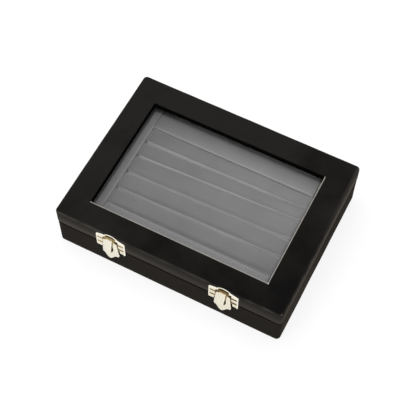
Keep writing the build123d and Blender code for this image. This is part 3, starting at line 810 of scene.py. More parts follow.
roll_boxes = [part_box(f"cufflink_roll_{number}") for number in range(1, 6)]
crease_levels = [roll_boxes[0][0].y] + [high.y for low, high in roll_boxes]
crease_slants = np.array([0.4, 1.6, 1.85, 2.9, 1.2, 0.0]) * MM
bay_half = roll_boxes[0][1].x
for number, (low, high) in enumerate(roll_boxes, 1):
    roll = rolls[number]
    x, y = points_of(roll)[:, :2].T
    across = (y - low.y) / (high.y - low.y)
    # Painted shade and light: each roll darker at its front and lighter towards the right.
    set_values(roll, "painted_shading", 0.15 * across - 0.05 + (0.12 + 0.06 * (number - 1)) * x / bay_half)
    # Painted highlights on the back edge, front edge and left end.
    back_edge = bell(y - high.y + 0.6 * MM, 0.8 * MM)
    front_edge = bell(y - low.y - 0.2 * MM, 0.6 * MM)
    left_end = bell(x - low.x - 0.4 * MM, 0.8 * MM)
    patch = np.array([0.75 + 0.5 * noise.noise(Vector((along / (40 * MM), number, 0))) for along in x])
    crease_highlights = np.maximum(back_edge * patch * (1.15 if number < 5 else 0.6), np.maximum(front_edge, left_end) * 0.7)
    set_values(roll, "wear_and_highlight", unit(crease_highlights))
    move_points(roll, lean(points_of(roll)))
    ride_for(roll, "base", f"cufflink_roll_{number}")
    print(roll.name, "width mm", round((high.y - low.y) / MM, 1))

# %% [markdown]
# Window glass is clear, with hardly any cast in a thin pane. Shadow rays pass straight through,
# so the velvet below is lit, and everything else meets real refraction and gloss.

# %% Glass
def glass_material():
    """Clear glass that lets light through to what lies below."""
    material, tree, shader = new_material("clear_glass")
    set_inputs(shader, Base_Color=(0.98, 0.982, 0.985, 1), Transmission_Weight=1.0, Roughness=0.0, IOR=1.45)
    path = new_node(tree, "ShaderNodeLightPath")
    either = new_node(tree, "ShaderNodeMath", operation="MAXIMUM")
    clear = new_node(tree, "ShaderNodeBsdfTransparent", in_Color=(0.96, 0.96, 0.962, 1))
    mixed = new_node(tree, "ShaderNodeMixShader")
    wire(tree, (path, "Is Shadow Ray", either, 0), (path, "Is Diffuse Ray", either, 1), (either, 0, mixed, 0),
         (shader, 0, mixed, 1), (clear, 0, mixed, 2))
    tree.links.new(mixed.outputs[0], tree.nodes["Material Output"].inputs["Surface"])
    return material


pane_corners = [(pane_low.x, pane_low.y), (pane_high.x, pane_low.y), (pane_high.x, pane_high.y),
                (pane_low.x, pane_high.y)]
glass_sheet = mitred_bar("glass_sheet", pane_corners, pane_low.z, pane_high.z, 0.3 * MM, glass_material())
ride_for(glass_sheet, "lid", "glass_pane")
print("glass points", len(glass_sheet.data.vertices))

# %% [markdown]
# The metal is a warm champagne plating over pressed sheet. It is brighter on its rims than on
# its faces, a painted highlight, and dark brown in its creases and gaps, partly tarnish and dirt
# and partly painted shade. Each mesh stores that as one value, and a ramp of four colours turns
# it into the metal's.

# %% Metal materials
def plated(name, bright, dull, stained_and_shaded, dark, roughness):
    """Plated metal with fine unevenness, and tarnish and painted shade in the creases."""
    material, tree, shader = new_material(name)
    where = new_node(tree, "ShaderNodeTexCoord")
    cast = new_node(tree, "ShaderNodeTexNoise", in_Scale=420.0, in_Detail=4.0)
    polish = new_node(tree, "ShaderNodeMapRange", in_To_Min=roughness - 0.06, in_To_Max=roughness + 0.1)
    crease = new_node(tree, "ShaderNodeAttribute", attribute_name="tarnish_and_shade")
    colour = new_node(tree, "ShaderNodeValToRGB")
    stops = colour.color_ramp.elements
    stops[0].color = (*bright, 1)
    stops[1].color = (*dark, 1)
    stops.new(0.17).color = (*dull, 1)
    stops.new(0.45).color = (*stained_and_shaded, 1)
    bump = new_node(tree, "ShaderNodeBump", in_Strength=0.25, in_Distance=0.00006)
    wire(tree, (where, "Object", cast, "Vector"), (cast, "Fac", polish, "Value"),
         (polish, 0, shader, "Roughness"), (crease, "Fac", colour, "Fac"),
         (colour, "Color", shader, "Base Color"), (cast, "Fac", bump, "Height"),
         (bump, 0, shader, "Normal"))
    set_inputs(shader, Metallic=1.0)
    return material


champagne = plated("champagne_plating", linear(254, 250, 236), linear(231, 225, 205), linear(204, 184, 134),
                   linear(74, 46, 10), 0.24)
hinge_brass = plated("hinge_plating", linear(240, 232, 206), linear(222, 210, 178), linear(186, 164, 118),
                     linear(80, 58, 26), 0.3)
print("metals", champagne.name, hinge_brass.name)

# %% [markdown]
# The clasps and hinges are pressed from thin sheet. Their outlines are soft curves, mirrored
# about the middle. How far a point lies inside an outline decides both where the sheet ends
# and where its rim starts to turn.

# %% Outline helpers
def arc(start, bend, end, count=8):
    """Points on a smooth curve from start to end, pulled towards a bend point."""
    t = np.linspace(0, 1, count)[:, None]
    return (1 - t) ** 2 * np.array(start) + 2 * t * (1 - t) * np.array(bend) + t ** 2 * np.array(end)


def inside_distance(points, polygon):
    """Distance to a closed outline, positive inside it."""
    a = polygon
    b = np.roll(polygon, -1, axis=0)
    edge = b - a
    rel = points[:, None, :] - a[None]
    t = unit((rel * edge).sum(-1) / np.maximum((edge ** 2).sum(-1), 1e-18))
    gap = np.linalg.norm(rel - t[..., None] * edge, axis=-1).min(1)
    crosses = (a[None, :, 1] > points[:, None, 1]) != (b[None, :, 1] > points[:, None, 1])
    height = np.where(np.abs(edge[:, 1]) < 1e-15, 1e-15, edge[:, 1])
    at = a[None, :, 0] + (points[:, None, 1] - a[None, :, 1]) / height * edge[None, :, 0]
    odd = (crosses & (points[:, None, 0] < at)).sum(1) % 2 == 1
    return np.where(odd, gap, -gap)


def rounded(d, radius):
    """0 at the edge and 1 from a radius inward, along a quarter circle."""
    near = unit(d / radius)
    return np.sqrt(1 - (1 - near) ** 2)


def mirrored(right_half):
    """A closed outline from its right half, given from the top down."""
    left = right_half[::-1] * np.array([-1, 1])
    return np.concatenate([right_half, left])


square = np.array([(-1, -1), (1, -1), (1, 1), (-1, 1)], float)
print("distance inside a square", inside_distance(np.array([(0.5, 0.0)]), square)[0])

# %% [markdown]
# A press gives a flat outline some height: rims, ribs and a crown. So each fitting starts as an
# outline on a fine grid, the cells inside it are kept, its border points are drawn onto the
# outline, and two height rules lift the front and the back. The distance to the edge, which
# the rules also get, rounds the rim.

# %% Pressed sheet
# Painted highlight: faces are dimmed from an edge inward, so the rims look brighter. Painted shade darkens the back
# faces.
rim_highlight_dimming = 0.17
back_shade = 0.15
metal_cell = 0.2 * MM
leaf_cell = 0.3 * MM


def pressed_sheet(outline, holes, cell, rules):
    """A closed thin shell over an outline in x and z. rules(x, z, d) gives front, back, and tarnish with painted
    shade.
    """
    def depth(points):
        d = inside_distance(points, outline)
        for hole_outline in holes:
            d = np.minimum(d, -inside_distance(points, hole_outline))
        return d

    low, high = outline.min(0), outline.max(0)
    nx, nz = (np.ceil((high - low) / cell).astype(int) + 1)
    xs = low[0] + np.arange(nx + 1) * cell - (nx * cell - (high[0] - low[0])) / 2
    zs = low[1] + np.arange(nz + 1) * cell - (nz * cell - (high[1] - low[1])) / 2
    gx, gz = np.meshgrid(xs, zs, indexing="ij")
    grid = np.stack([gx, gz], -1).reshape(-1, 2)
    centres = np.stack(np.meshgrid((xs[:-1] + xs[1:]) / 2, (zs[:-1] + zs[1:]) / 2, indexing="ij"), -1)
    kept = (depth(centres.reshape(-1, 2)) > 0).reshape(nx, nz)
    index = np.arange((nx + 1) * (nz + 1)).reshape(nx + 1, nz + 1)
    quads = np.stack([index[:-1, :-1], index[1:, :-1], index[1:, 1:], index[:-1, 1:]], -1)[kept]
    neighbours = np.zeros((nx + 2, nz + 2), int)
    neighbours[1:-1, 1:-1] = kept
    touching = (neighbours[:-1, :-1] + neighbours[1:, :-1] + neighbours[:-1, 1:] + neighbours[1:, 1:]).reshape(-1)
    border = (touching > 0) & (touching < 4)
    small = cell * 0.05
    for _ in range(3):
        here = grid[border]
        d = depth(here)
        slope = np.stack([depth(here + (small, 0)) - depth(here - (small, 0)),
                          depth(here + (0, small)) - depth(here - (0, small))], 1)
        slope /= np.maximum(np.linalg.norm(slope, axis=1, keepdims=True), 1e-12)
        grid[border] = here - slope * np.clip(d, -cell, cell)[:, None]
    used = np.unique(quads)
    order = np.full(len(grid), -1)
    order[used] = np.arange(len(used))
    quads = order[quads]
    x, z = grid[used, 0], grid[used, 1]
    d = np.maximum(depth(grid[used]), 0)
    front_y, back_y, tarnish_and_shade = rules(x, z, d)
    count = len(used)
    verts = np.concatenate([np.stack([x, front_y, z], 1), np.stack([x, back_y, z], 1)])
    edges = {}
    for q in quads:
        for k in range(4):
            pair = (q[k], q[(k + 1) % 4])
            if (pair[1], pair[0]) in edges:
                del edges[(pair[1], pair[0])]
            else:
                edges[pair] = True
    faces = [tuple(q) for q in quads] + [tuple(q[::-1] + count) for q in quads]
    faces += [(b, a, a + count, b + count) for a, b in edges]
    # Faces dimmed in from the edge give a painted highlight on the rims, and the backs get painted shade.
    tarnish_and_shade = unit(tarnish_and_shade + rim_highlight_dimming * unit(d / (1.2 * MM)))
    return verts, faces, np.concatenate([tarnish_and_shade, unit(tarnish_and_shade + back_shade)])


print("cells mm", round(metal_cell / MM, 2), round(leaf_cell / MM, 2))

# %% [markdown]
# Pins and knuckles are bars with eased ends, turned about an axis along the box. A fitting is
# then its sheet and its bars, joined in one mesh that carries the tarnish and painted shade of each.

# %% Bars and joined pieces
def lathe_x(x0, x1, y, z, radius, bevel, segments=40, grime_and_shade=0.0):
    """A bar along x with rounded ends, as verts, faces and tarnish with painted shade, darker on its upper side."""
    section = [(x0, 0.0), (x0, radius - bevel), (x0 + bevel * 0.3, radius - bevel * 0.3), (x0 + bevel, radius),
               (x1 - bevel, radius), (x1 - bevel * 0.3, radius - bevel * 0.3), (x1, radius - bevel), (x1, 0.0)]
    verts, faces = [], []
    for px, r in section:
        for k in range(segments):
            angle = 2 * math.pi * k / segments
            verts.append((px, y + r * math.cos(angle), z + r * math.sin(angle)))
    for row in range(len(section) - 1):
        for k in range(segments):
            m = (k + 1) % segments
            faces.append((row * segments + k, row * segments + m, (row + 1) * segments + m, (row + 1) * segments + k))
    upward = (np.array(verts)[:, 2] - z) / radius
    return np.array(verts), faces, grime_and_shade * unit(0.75 + 0.45 * upward)


def metal_piece(name, parts, material):
    """Joins verts, faces and tarnish with painted shade from several shapes into one smooth piece."""
    verts, faces, tarnish_and_shade, start = [], [], [], 0
    for part_verts, part_faces, part_tarnish in parts:
        verts.append(part_verts)
        faces += [tuple(int(i) + start for i in face) for face in part_faces]
        tarnish_and_shade.append(part_tarnish)
        start += len(part_verts)
    mesh = bpy.data.meshes.new(name)
    mesh.from_pydata(np.concatenate(verts).tolist(), [], faces)
    attribute = mesh.attributes.new("tarnish_and_shade", "FLOAT", "POINT")
    attribute.data.foreach_set("value", np.concatenate(tarnish_and_shade).astype(np.float32))
    shape = bmesh.new()
    shape.from_mesh(mesh)
    bmesh.ops.remove_doubles(shape, verts=shape.verts, dist=1e-7)
    bmesh.ops.recalc_face_normals(shape, faces=shape.faces)
    shape.to_mesh(mesh)
    shape.free()
    return add_object(name, mesh, material)


def shifted(shape, x, dirt=1.0):
    """A shape moved along x, with more or less tarnish and painted shade."""
    verts, faces, tarnish_and_shade = shape
    return verts + np.array([x, 0, 0]), faces, unit(tarnish_and_shade * dirt)


def fitting(node, body, material, shapes, x, dirt=1.0):
    """Makes a metal piece of shapes moved along x, puts it under its body and hides the solid it stands for."""
    piece = metal_piece(f"{node}_skin", [shifted(shape, x, dirt) for shape in shapes], material)
    ride_for(piece, body, node)
    return piece


print("faces of a bar", len(lathe_x(0, 10 * MM, 0, 0, 2 * MM, 0.2 * MM)[1]))

# %% [markdown]
# The clasp plate is nailed to the lid. It has three ribs on each wing, a raised rim that runs
# over the top in an arch, and a window under the arch where the flap's knuckle turns.

# %% Clasp plate outline
lid_front = lid_low.y
plate_half = 12.9 * MM
plate_arch_top = lid_high.z + 1.65 * MM
wing_top = lid_high.z - 2.8 * MM
wing_low = 26.6 * MM
plate_middle = 31.45 * MM
axis_z = 45.0 * MM
axis_out = 1.35 * MM
curl_radius = 1.08 * MM
groove_levels = (33.5 * MM, 40.3 * MM)
groove_half = 0.8 * MM
window_half = 3.35 * MM
window_foot = 43.7 * MM
window_shoulder = 46.0 * MM
window_top = 46.8 * MM
window_cut = 1.1 * MM
flap_side_at_foot = 7.95 * MM
left_cuts = (0.4 * MM, 2.4 * MM)
right_cuts = (1.7 * MM, 0.7 * MM)
sheet_height = 0.45 * MM
rib_foot = 0.15 * MM
rib_height = 0.75 * MM
rim_height = 0.95 * MM
rim_half = 0.9 * MM


def half_plate(top_cut, low_cut):
    """The right half of the plate, with its two corner cuts."""
    return np.concatenate([
        arc((0, plate_arch_top), (3.4 * MM, plate_arch_top), (6.2 * MM, wing_top + 1.4 * MM), 14),
        arc((plate_half - top_cut, wing_top), (plate_half, wing_top), (plate_half, wing_top - top_cut)),
        arc((plate_half, wing_low + low_cut), (plate_half - 0.2 * low_cut, wing_low + 0.2 * low_cut),
            (plate_half - low_cut, wing_low)),
        [(flap_side_at_foot, wing_low + 0.5 * MM), (flap_side_at_foot, plate_middle), (0, plate_middle)],
    ])


plate_outline = np.concatenate([half_plate(*right_cuts), half_plate(*left_cuts)[::-1] * np.array([-1, 1])])
window_hole = mirrored(np.array([(window_half - window_cut, window_top), (window_half, window_shoulder),
                                 (window_half, window_foot)]))
print("plate mm", np.round((plate_outline.max(0) - plate_outline.min(0)) / MM, 1))

# %% [markdown]
# The wings' ribs are arches of height between grooves, and the rim is a ridge that follows the
# top edge. Painted shade darkens the grooves, more on the right wing, the crease under the arch
# and the plate along the flap. It is weaker in the middle, which the flap covers.

# %% Clasp plates
def plate_rules(x, z, d):
    """Heights of the plate: ribs on the wings, a rim along the top and a flat middle."""
    wing = unit((np.abs(x) - 5.2 * MM) / (1.6 * MM))
    ends = (wing_low - 0.2 * MM, *groove_levels, wing_top + 0.4 * MM)
    rib = np.zeros_like(x)
    groove = np.zeros_like(x)
    for level_low, level_high in zip(ends[:-1], ends[1:]):
        share = unit((z - level_low) / (level_high - level_low))
        inside = (z >= level_low) & (z <= level_high)
        rib = np.where(inside, np.sqrt(np.maximum(np.sin(np.pi * share), 0)), rib)
    # Painted shade in the grooves.
    for level in groove_levels:
        groove = np.maximum(groove, 1.5 * bell(z - level + 0.35 * MM, groove_half))
    end_fade = unit((plate_half - np.abs(x) - 0.9 * MM) / (0.8 * MM))
    groove *= wing * end_fade
    ribs = (rib_foot + rib_height * (rib * end_fade + (1 - end_fade))) * wing
    arch_line = plate_arch_top - (np.abs(x) / (7.0 * MM)) ** 2 * 3.2 * MM
    from_top = np.minimum(arch_line, wing_top + 1.6 * MM) - z
    rim = bell(from_top - 0.7 * MM, rim_half) * (np.abs(x) < 8.5 * MM)
    height = sheet_height + np.maximum(ribs, rim_height * rim * (1 - 0.4 * wing))
    front = lid_front - 0.1 * MM - height * rounded(d, 0.3 * MM)
    # Painted shade under the arch and beside the flap, stronger in the right wing's grooves and weaker where the flap
    # covers.
    under_arch = (1 - wing) * unit((from_top - 1.3 * MM) / (0.3 * MM))
    near_flap = unit(1 - (np.abs(x) - 6.0 * MM) / (1.5 * MM)) * (z < wing_top - 0.6 * MM)
    right_share = np.where(x > 0, 1.2, 0.6)
    shade = unit(groove * right_share + under_arch + near_flap * (1 - rim))
    covered = unit((5.0 * MM - np.abs(x)) / MM) * unit((axis_z - 2.0 * MM - z) / MM)
    return front, np.full_like(x, lid_front - 0.02 * MM), shade * (1 - 0.55 * covered)


plate_shape = pressed_sheet(plate_outline, [window_hole], metal_cell, plate_rules)
# The ears get painted shade, darker on top.
ears = [lathe_x(x0 * MM, x1 * MM, lid_front - axis_out, axis_z, curl_radius, 0.2 * MM, grime_and_shade=0.9)
        for x0, x1 in ((-4.6, -3.3), (3.3, 4.6))]
clasp_x = {"left": -48.85 * MM, "right": 50.65 * MM}
# How strong each clasp's tarnish and painted shade are. The left clasp's are lighter.
clasp_stain_and_shade = {"left": 0.8, "right": 1.0}
for side, x in clasp_x.items():
    plate = fitting(f"clasp_{side}_plate", "lid", champagne, (plate_shape, *ears), x, clasp_stain_and_shade[side])
print("plate points", len(plate.data.vertices))

# %% [markdown]
# The flap is a small shield. Its sheet curls round the pin at the top, crowns outward, splays
# towards the foot and ends in a point between two ears. A springy tongue is cut free, all the
# way up on its right and only beside its foot on the left. It bows out of the shield, and the
# dark gap beside it, deepened with painted shade, is the clasp's clearest mark.

# %% Clasp flap outline
flap_point = 18.1 * MM
flap_length = axis_z - flap_point
flap_out = (3.0 * MM, 4.15 * MM)
flap_radius = 14.0 * MM
flap_belly = 0.35 * MM
flap_curl = 1.1 * MM
flap_thick = 0.7 * MM
flap_neck, flap_shoulder, flap_foot = 3.0 * MM, 5.8 * MM, 7.65 * MM
flap_ear = flap_point + 3.2 * MM
tongue_half = (2.1 * MM, 3.0 * MM)
tongue_levels = (28.9 * MM, 43.9 * MM)
tongue_rise = 1.9 * MM
slit_width_top = 0.22 * MM
slit_width_foot = 1.15 * MM
slit_width_eye = 0.75 * MM
left_slit_length = 8 * MM


def flap_outline():
    """The shield's outline, from the curled top to the point."""
    neck, shoulder, foot, ear = flap_neck, flap_shoulder, flap_foot, flap_ear
    top = axis_z + flap_curl
    right_half = np.concatenate([
        [(0, top), (neck, top), (neck, axis_z - 0.1 * MM)],
        arc((neck + 0.2 * MM, axis_z - 0.5 * MM), (shoulder, axis_z - 0.5 * MM),
            (shoulder + 0.3 * MM, axis_z - 4 * MM)),
        arc((foot - 0.05 * MM, ear + 2.6 * MM), (foot, ear), (foot - 0.9 * MM, ear)),
        arc((foot - 1.3 * MM, ear + 0.1 * MM), (5.3 * MM, ear + 2.0 * MM), (4.1 * MM, ear + 0.6 * MM)),
        arc((3.5 * MM, ear - 0.1 * MM), (1.7 * MM, flap_point + 0.2 * MM), (0, flap_point)),
    ])
    return mirrored(right_half)


def slit(side):
    """One slit beside the tongue. The right one is widest above its pointed foot and ends in an eye."""
    low, high = tongue_levels
    foot, head = tongue_half
    taper = (head - foot) / (high - low)
    widths = ((0, 0), (2.9 * MM, slit_width_foot), (4.3 * MM, slit_width_foot), (8 * MM, slit_width_top),
              (high - low - 1.4 * MM, slit_width_top), (high - low - 0.8 * MM, slit_width_eye))
    if side < 0:
        high = low + left_slit_length
        widths = ((0, 0), (2 * MM, slit_width_top), (high - low - 2 * MM, slit_width_top))
    outer = [(side * (foot + taper * rise + width), low + rise) for rise, width in widths]
    return np.array(outer + [(side * (foot + taper * (high - low)), high)])


shield = flap_outline()
slits = [slit(-1), slit(1)]
print("flap mm", np.round((shield.max(0) - shield.min(0)) / MM, 1))

# %% [markdown]
# From the side the flap leans out towards its foot with a slight belly, and from above it is part
# of a wide cylinder. The tongue adds its bow. Painted shade sits in the curl, with random
# mottling, beside the right slit, along the upper edges and along the right side.

# %% Clasp flaps
def flap_rules(x, z, d):
    """Heights of the flap: a curl at the top, a crowned shield and a bowed tongue."""
    share = unit((axis_z - z) / flap_length)
    out = flap_out[0] + (flap_out[1] - flap_out[0]) * share ** 0.85 + flap_belly * np.sin(np.pi * share)
    out = out - (flap_radius - np.sqrt(flap_radius ** 2 - x ** 2)) * unit(share * 6)
    curl = np.sqrt(np.maximum(flap_curl ** 2 - np.maximum(z - axis_z, 0) ** 2, 0))
    step = unit((z - axis_z - 0.1 * MM) / (0.4 * MM))
    out = out + (axis_out + curl - out) * step * (np.abs(x) < 3.1 * MM)
    low, high = tongue_levels
    along = unit((z - low) / (high - low))
    edge = tongue_half[0] + (tongue_half[1] - tongue_half[0]) * along
    across = rounded(edge + 0.05 * MM - np.abs(x), 0.5 * MM)
    bow = tongue_rise * rounded(along, 0.16) * (1 - along) ** 0.6
    bow = bow * (0.7 + 0.3 * across) * (np.abs(x) <= edge + 0.06 * MM)
    rim = rounded(d, 0.35 * MM)
    front = out + bow - flap_thick * 0.5 * (1 - rim)
    back = out + bow - flap_thick + flap_thick * 0.4 * (1 - rim)
    back = np.where(z > axis_z - 0.6 * MM, np.minimum(back, axis_out), back)
    # Painted shade on the right slit's side, in the curl, along the upper edges and along the right side.
    beside = unit(1.2 - np.abs(x - edge - 0.45 * MM) / (0.7 * MM)) * (x > 0)
    beside *= (along > 0) * (along < 1) * np.where(z < low + 7 * MM, 0.9, 0.4)
    mottled = 0.3 * unit((z - axis_z) / MM) + 0.12 * np.sin(3.1 * x / MM) * np.sin(1.7 * x / MM + 1)
    curl_shade = unit((z - axis_z - 0.15 * MM) / (0.3 * MM)) * (0.55 + mottled)
    upper_left = (z > 42 * MM) | ((x < 0) & (z > 34 * MM))
    right_side = (x > 4 * MM) & (z > 23 * MM)
    edge_line = unit(1 - d / (0.5 * MM)) * np.where(upper_left, 0.8, 0.4 * right_side)
    return lid_front - front, lid_front - back, unit(beside + curl_shade + edge_line)


flap_shape = pressed_sheet(shield, slits, metal_cell, flap_rules)
# The knuckle and pin get painted shade, darker on top.
knuckle = lathe_x(-3.0 * MM, 3.0 * MM, lid_front - axis_out, axis_z, curl_radius, 0.15 * MM, grime_and_shade=0.85)
pin_shape = lathe_x(-4.8 * MM, 4.8 * MM, lid_front - axis_out, axis_z, 0.55 * MM, 0.2 * MM, grime_and_shade=0.5)
for side, x in clasp_x.items():
    flap = fitting(f"clasp_{side}_flap", f"{side}_flap", champagne, (flap_shape, knuckle), x,
                   clasp_stain_and_shade[side])
    fitting(f"clasp_{side}_pin", "lid", champagne, [pin_shape], x)
print("flap points", len(flap.data.vertices))

# %% [markdown]
# The flap closes over a keeper on the base. It is a small plate with a half-round bead, and the
# same sheet helper makes it: the bead is only a height rule.

# %% Keepers
base_front = base_low.y
keeper_top = 28.4 * MM
keeper_size = (5.0 * MM, 8.0 * MM)
keeper_sheet = 0.6 * MM
bead_level = 26.6 * MM
bead_radius = 1.6 * MM
bead_half = 3.0 * MM


def keeper_outline():
    """A small plate with rounded corners."""
    half, tall = keeper_size
    low = keeper_top - tall
    cut = 1.0 * MM
    return mirrored(np.concatenate([
        [(0, keeper_top)],
        arc((half - cut, keeper_top), (half, keeper_top), (half, keeper_top - cut)),
        arc((half, low + cut), (half, low), (half - cut, low)),
        [(0, low)],
    ]))


def keeper_rules(x, z, d):
    """A flat sheet with a half-round bead across its upper part."""
    bead = np.sqrt(np.maximum(bead_radius ** 2 - (z - bead_level) ** 2, 0))
    bead = bead * rounded(bead_half - np.abs(x), 0.6 * MM)
    foot_line = bell(np.abs(z - bead_level) - bead_radius, 0.3 * MM) * (np.abs(x) < bead_half)
    front = base_front - keeper_sheet * (0.4 + 0.6 * rounded(d, 0.3 * MM)) - bead
    return front, np.full_like(x, base_front - 0.02 * MM), unit(foot_line * 0.7)


keeper_shape = pressed_sheet(keeper_outline(), [], metal_cell, keeper_rules)
for side, x in clasp_x.items():
    keeper = fitting(f"clasp_{side}_keeper", "base", champagne, [keeper_shape], x)
print("keeper points", len(keeper.data.vertices))

# %% [markdown]
# Two butt hinges join the back faces. The lid's leaf has the middle knuckle and the base's leaf
# the outer two, with a thin pin through all three, so the parts can turn without touching.

# %% Hinges
seam_level = 29.85 * MM
hinge_y = 76.95 * MM
hinge_half = 12.0 * MM
hinge_tall = 11.0 * MM
hinge_sheet = 0.8 * MM
knuckle_radius = 1.7 * MM
knuckle_inner = 4.08 * MM
knuckle_gap = 0.2 * MM
knuckle_outer = knuckle_inner + knuckle_gap
root_rise = 0.5 * MM
leaf_clear = 2.05 * MM
leaf_corner = 1.5 * MM
hinge_pin_radius = 0.75 * MM
eased = 0.15 * MM


def leaf_outline(upward):
    """Half a leaf from its root on the axis to its far corner, then mirrored across."""
    corner = arc((hinge_half, hinge_tall - leaf_corner), (hinge_half, hinge_tall),
                 (hinge_half - leaf_corner, hinge_tall))
    near, far = (root_rise, leaf_clear) if upward else (leaf_clear, root_rise)
    notch = knuckle_inner if upward else knuckle_outer
    half = [(0, near), (notch, near), (notch, far), (hinge_half, far)]
    points = mirrored(np.concatenate([np.array(half), corner, [(0, hinge_tall)]]))
    return points * (1, 1 if upward else -1) + (0, seam_level)


def leaf_rules(face):
    """A flat leaf on a back face, with eased edges."""
    def rules(x, z, d):
        outer = face + hinge_sheet * (0.5 + 0.5 * rounded(d, 0.3 * MM))
        root = unit(1 - (np.abs(z - seam_level) - leaf_clear) / (0.9 * MM))
        return np.full_like(x, face + 0.02 * MM), outer, root * 0.6
    return rules


leaf_shapes = {"lid": pressed_sheet(leaf_outline(True), [], leaf_cell, leaf_rules(lid_high.y)),
               "base": pressed_sheet(leaf_outline(False), [], leaf_cell, leaf_rules(base_high.y))}
knuckle_spans = {"lid": [(-knuckle_inner, knuckle_inner)],
                 "base": [(-hinge_half, -knuckle_outer), (knuckle_outer, hinge_half)]}
hinge_x = {"left": -55.0 * MM, "right": 55.0 * MM}
hinge_pin = lathe_x(-hinge_half - eased, hinge_half + eased, hinge_y, seam_level, hinge_pin_radius, eased, grime_and_shade=0.3)
for side, x in hinge_x.items():
    for body, spans in knuckle_spans.items():
        knuckles = [lathe_x(x0, x1, hinge_y, seam_level, knuckle_radius, eased, grime_and_shade=0.15) for x0, x1 in spans]
        leaf = fitting(f"hinge_{side}_{body}_leaf", body, hinge_brass,
                       (leaf_shapes[body], *knuckles), x)
    fitting(f"hinge_{side}_pin", "base", hinge_brass, [hinge_pin], x)
print("leaf points", len(leaf.data.vertices))

# %% [markdown]
# Nail heads repeat, so Geometry Nodes sets them out. The tree takes a few loose points, places a
# domed head on each, turns it to face outward and lets a seeded random value tilt and size every
# head a little differently. It ends in real geometry with its metal, ready to be a plain mesh.

# %% Nail head tree
def nail_tree():
    """A node tree that grows a domed nail head on each point of a mesh."""
    tree = bpy.data.node_groups.new("nail_heads", "GeometryNodeTree")
    sockets = (("Points", "Geometry"), ("Head Radius", "Float"), ("Head Height", "Float"), ("Turn", "Float"),
               ("Seed", "Int"), ("Metal", "Material"))
    for name, kind in sockets:
        tree.interface.new_socket(name, in_out="INPUT", socket_type=f"NodeSocket{kind}")
    tree.interface.new_socket("Heads", in_out="OUTPUT", socket_type="NodeSocketGeometry")
    given = new_node(tree, "NodeGroupInput")
    ball = new_node(tree, "GeometryNodeMeshUVSphere", in_Segments=20, in_Rings=12, in_Radius=1.0)
    place = new_node(tree, "GeometryNodeInputPosition")
    parts = new_node(tree, "ShaderNodeSeparateXYZ")
    flat = new_node(tree, "ShaderNodeMath", operation="MAXIMUM")
    flat.inputs[1].default_value = -0.08
    joined = new_node(tree, "ShaderNodeCombineXYZ")
    dome = new_node(tree, "GeometryNodeSetPosition")
    dirt = new_node(tree, "ShaderNodeMapRange", in_From_Min=0.45, in_From_Max=0.0)
    stored = new_node(tree, "GeometryNodeStoreNamedAttribute", data_type="FLOAT", domain="POINT", in_Name="tarnish_and_shade")
    size = new_node(tree, "ShaderNodeCombineXYZ")
    head = new_node(tree, "GeometryNodeTransform")
    tilt = new_node(tree, "FunctionNodeRandomValue", data_type="FLOAT_VECTOR")
    tilt.inputs[0].default_value = (-0.06, 0.0, -0.06)
    tilt.inputs[1].default_value = (0.06, 0.0, 0.06)
    facing = new_node(tree, "ShaderNodeCombineXYZ")
    turned = new_node(tree, "ShaderNodeVectorMath", operation="ADD")
    scatter = new_node(tree, "FunctionNodeRandomValue", data_type="FLOAT")
    scatter.inputs[2].default_value = 0.92
    scatter.inputs[3].default_value = 1.04
    copies = new_node(tree, "GeometryNodeInstanceOnPoints")
    real = new_node(tree, "GeometryNodeRealizeInstances")
    coloured = new_node(tree, "GeometryNodeSetMaterial")
    smooth = new_node(tree, "GeometryNodeSetShadeSmooth")
    out = new_node(tree, "NodeGroupOutput")
    wire(tree, (place, 0, parts, 0), (parts, "Z", flat, 0), (parts, "X", joined, "X"),
         (parts, "Y", joined, "Y"), (flat, 0, joined, "Z"), (ball, "Mesh", stored, "Geometry"),
         (parts, "Z", dirt, "Value"), (dirt, 0, stored, "Value"), (stored, 0, dome, "Geometry"),
         (joined, 0, dome, "Position"))
    wire(tree, (given, "Head Radius", size, "X"), (given, "Head Radius", size, "Y"),
         (given, "Head Height", size, "Z"), (dome, 0, head, "Geometry"), (size, 0, head, "Scale"))
    wire(tree, (given, "Turn", facing, "X"), (given, "Seed", tilt, "Seed"), (given, "Seed", scatter, "Seed"),
         (facing, 0, turned, 0), (tilt, 0, turned, 1))
    wire(tree, (given, "Points", copies, "Points"), (head, 0, copies, "Instance"),
         (turned, 0, copies, "Rotation"), (scatter, 1, copies, "Scale"))
    wire(tree, (copies, 0, real, 0), (real, 0, coloured, "Geometry"), (given, "Metal", coloured, "Material"),
         (coloured, 0, smooth, 0), (smooth, 0, out, 0))
    return tree


def nail_heads(name, points, radius, height, turn, seed, metal):
    """Runs the tree on a few points and keeps the result as a plain mesh."""
    mesh = bpy.data.meshes.new(name)
    mesh.from_pydata([tuple(p) for p in points], [], [])
    thing = bpy.data.objects.new(name, mesh)
    bpy.context.scene.collection.objects.link(thing)
    modifier = thing.modifiers.new("nail_heads", "NODES")
    modifier.node_group = heads_tree
    named = {item.name: item.identifier for item in heads_tree.interface.items_tree if item.in_out == "INPUT"}
    for key, value in (("Head Radius", radius), ("Head Height", height), ("Turn", turn), ("Seed", seed),
                       ("Metal", metal)):
        modifier[named[key]] = value
    return finish_mesh(thing)


heads_tree = nail_tree()
print("nail tree nodes", len(heads_tree.nodes))

# %% [markdown]
# The same tree serves all four sets of nails. Only the points, the size, the side they face
# and the metal change.

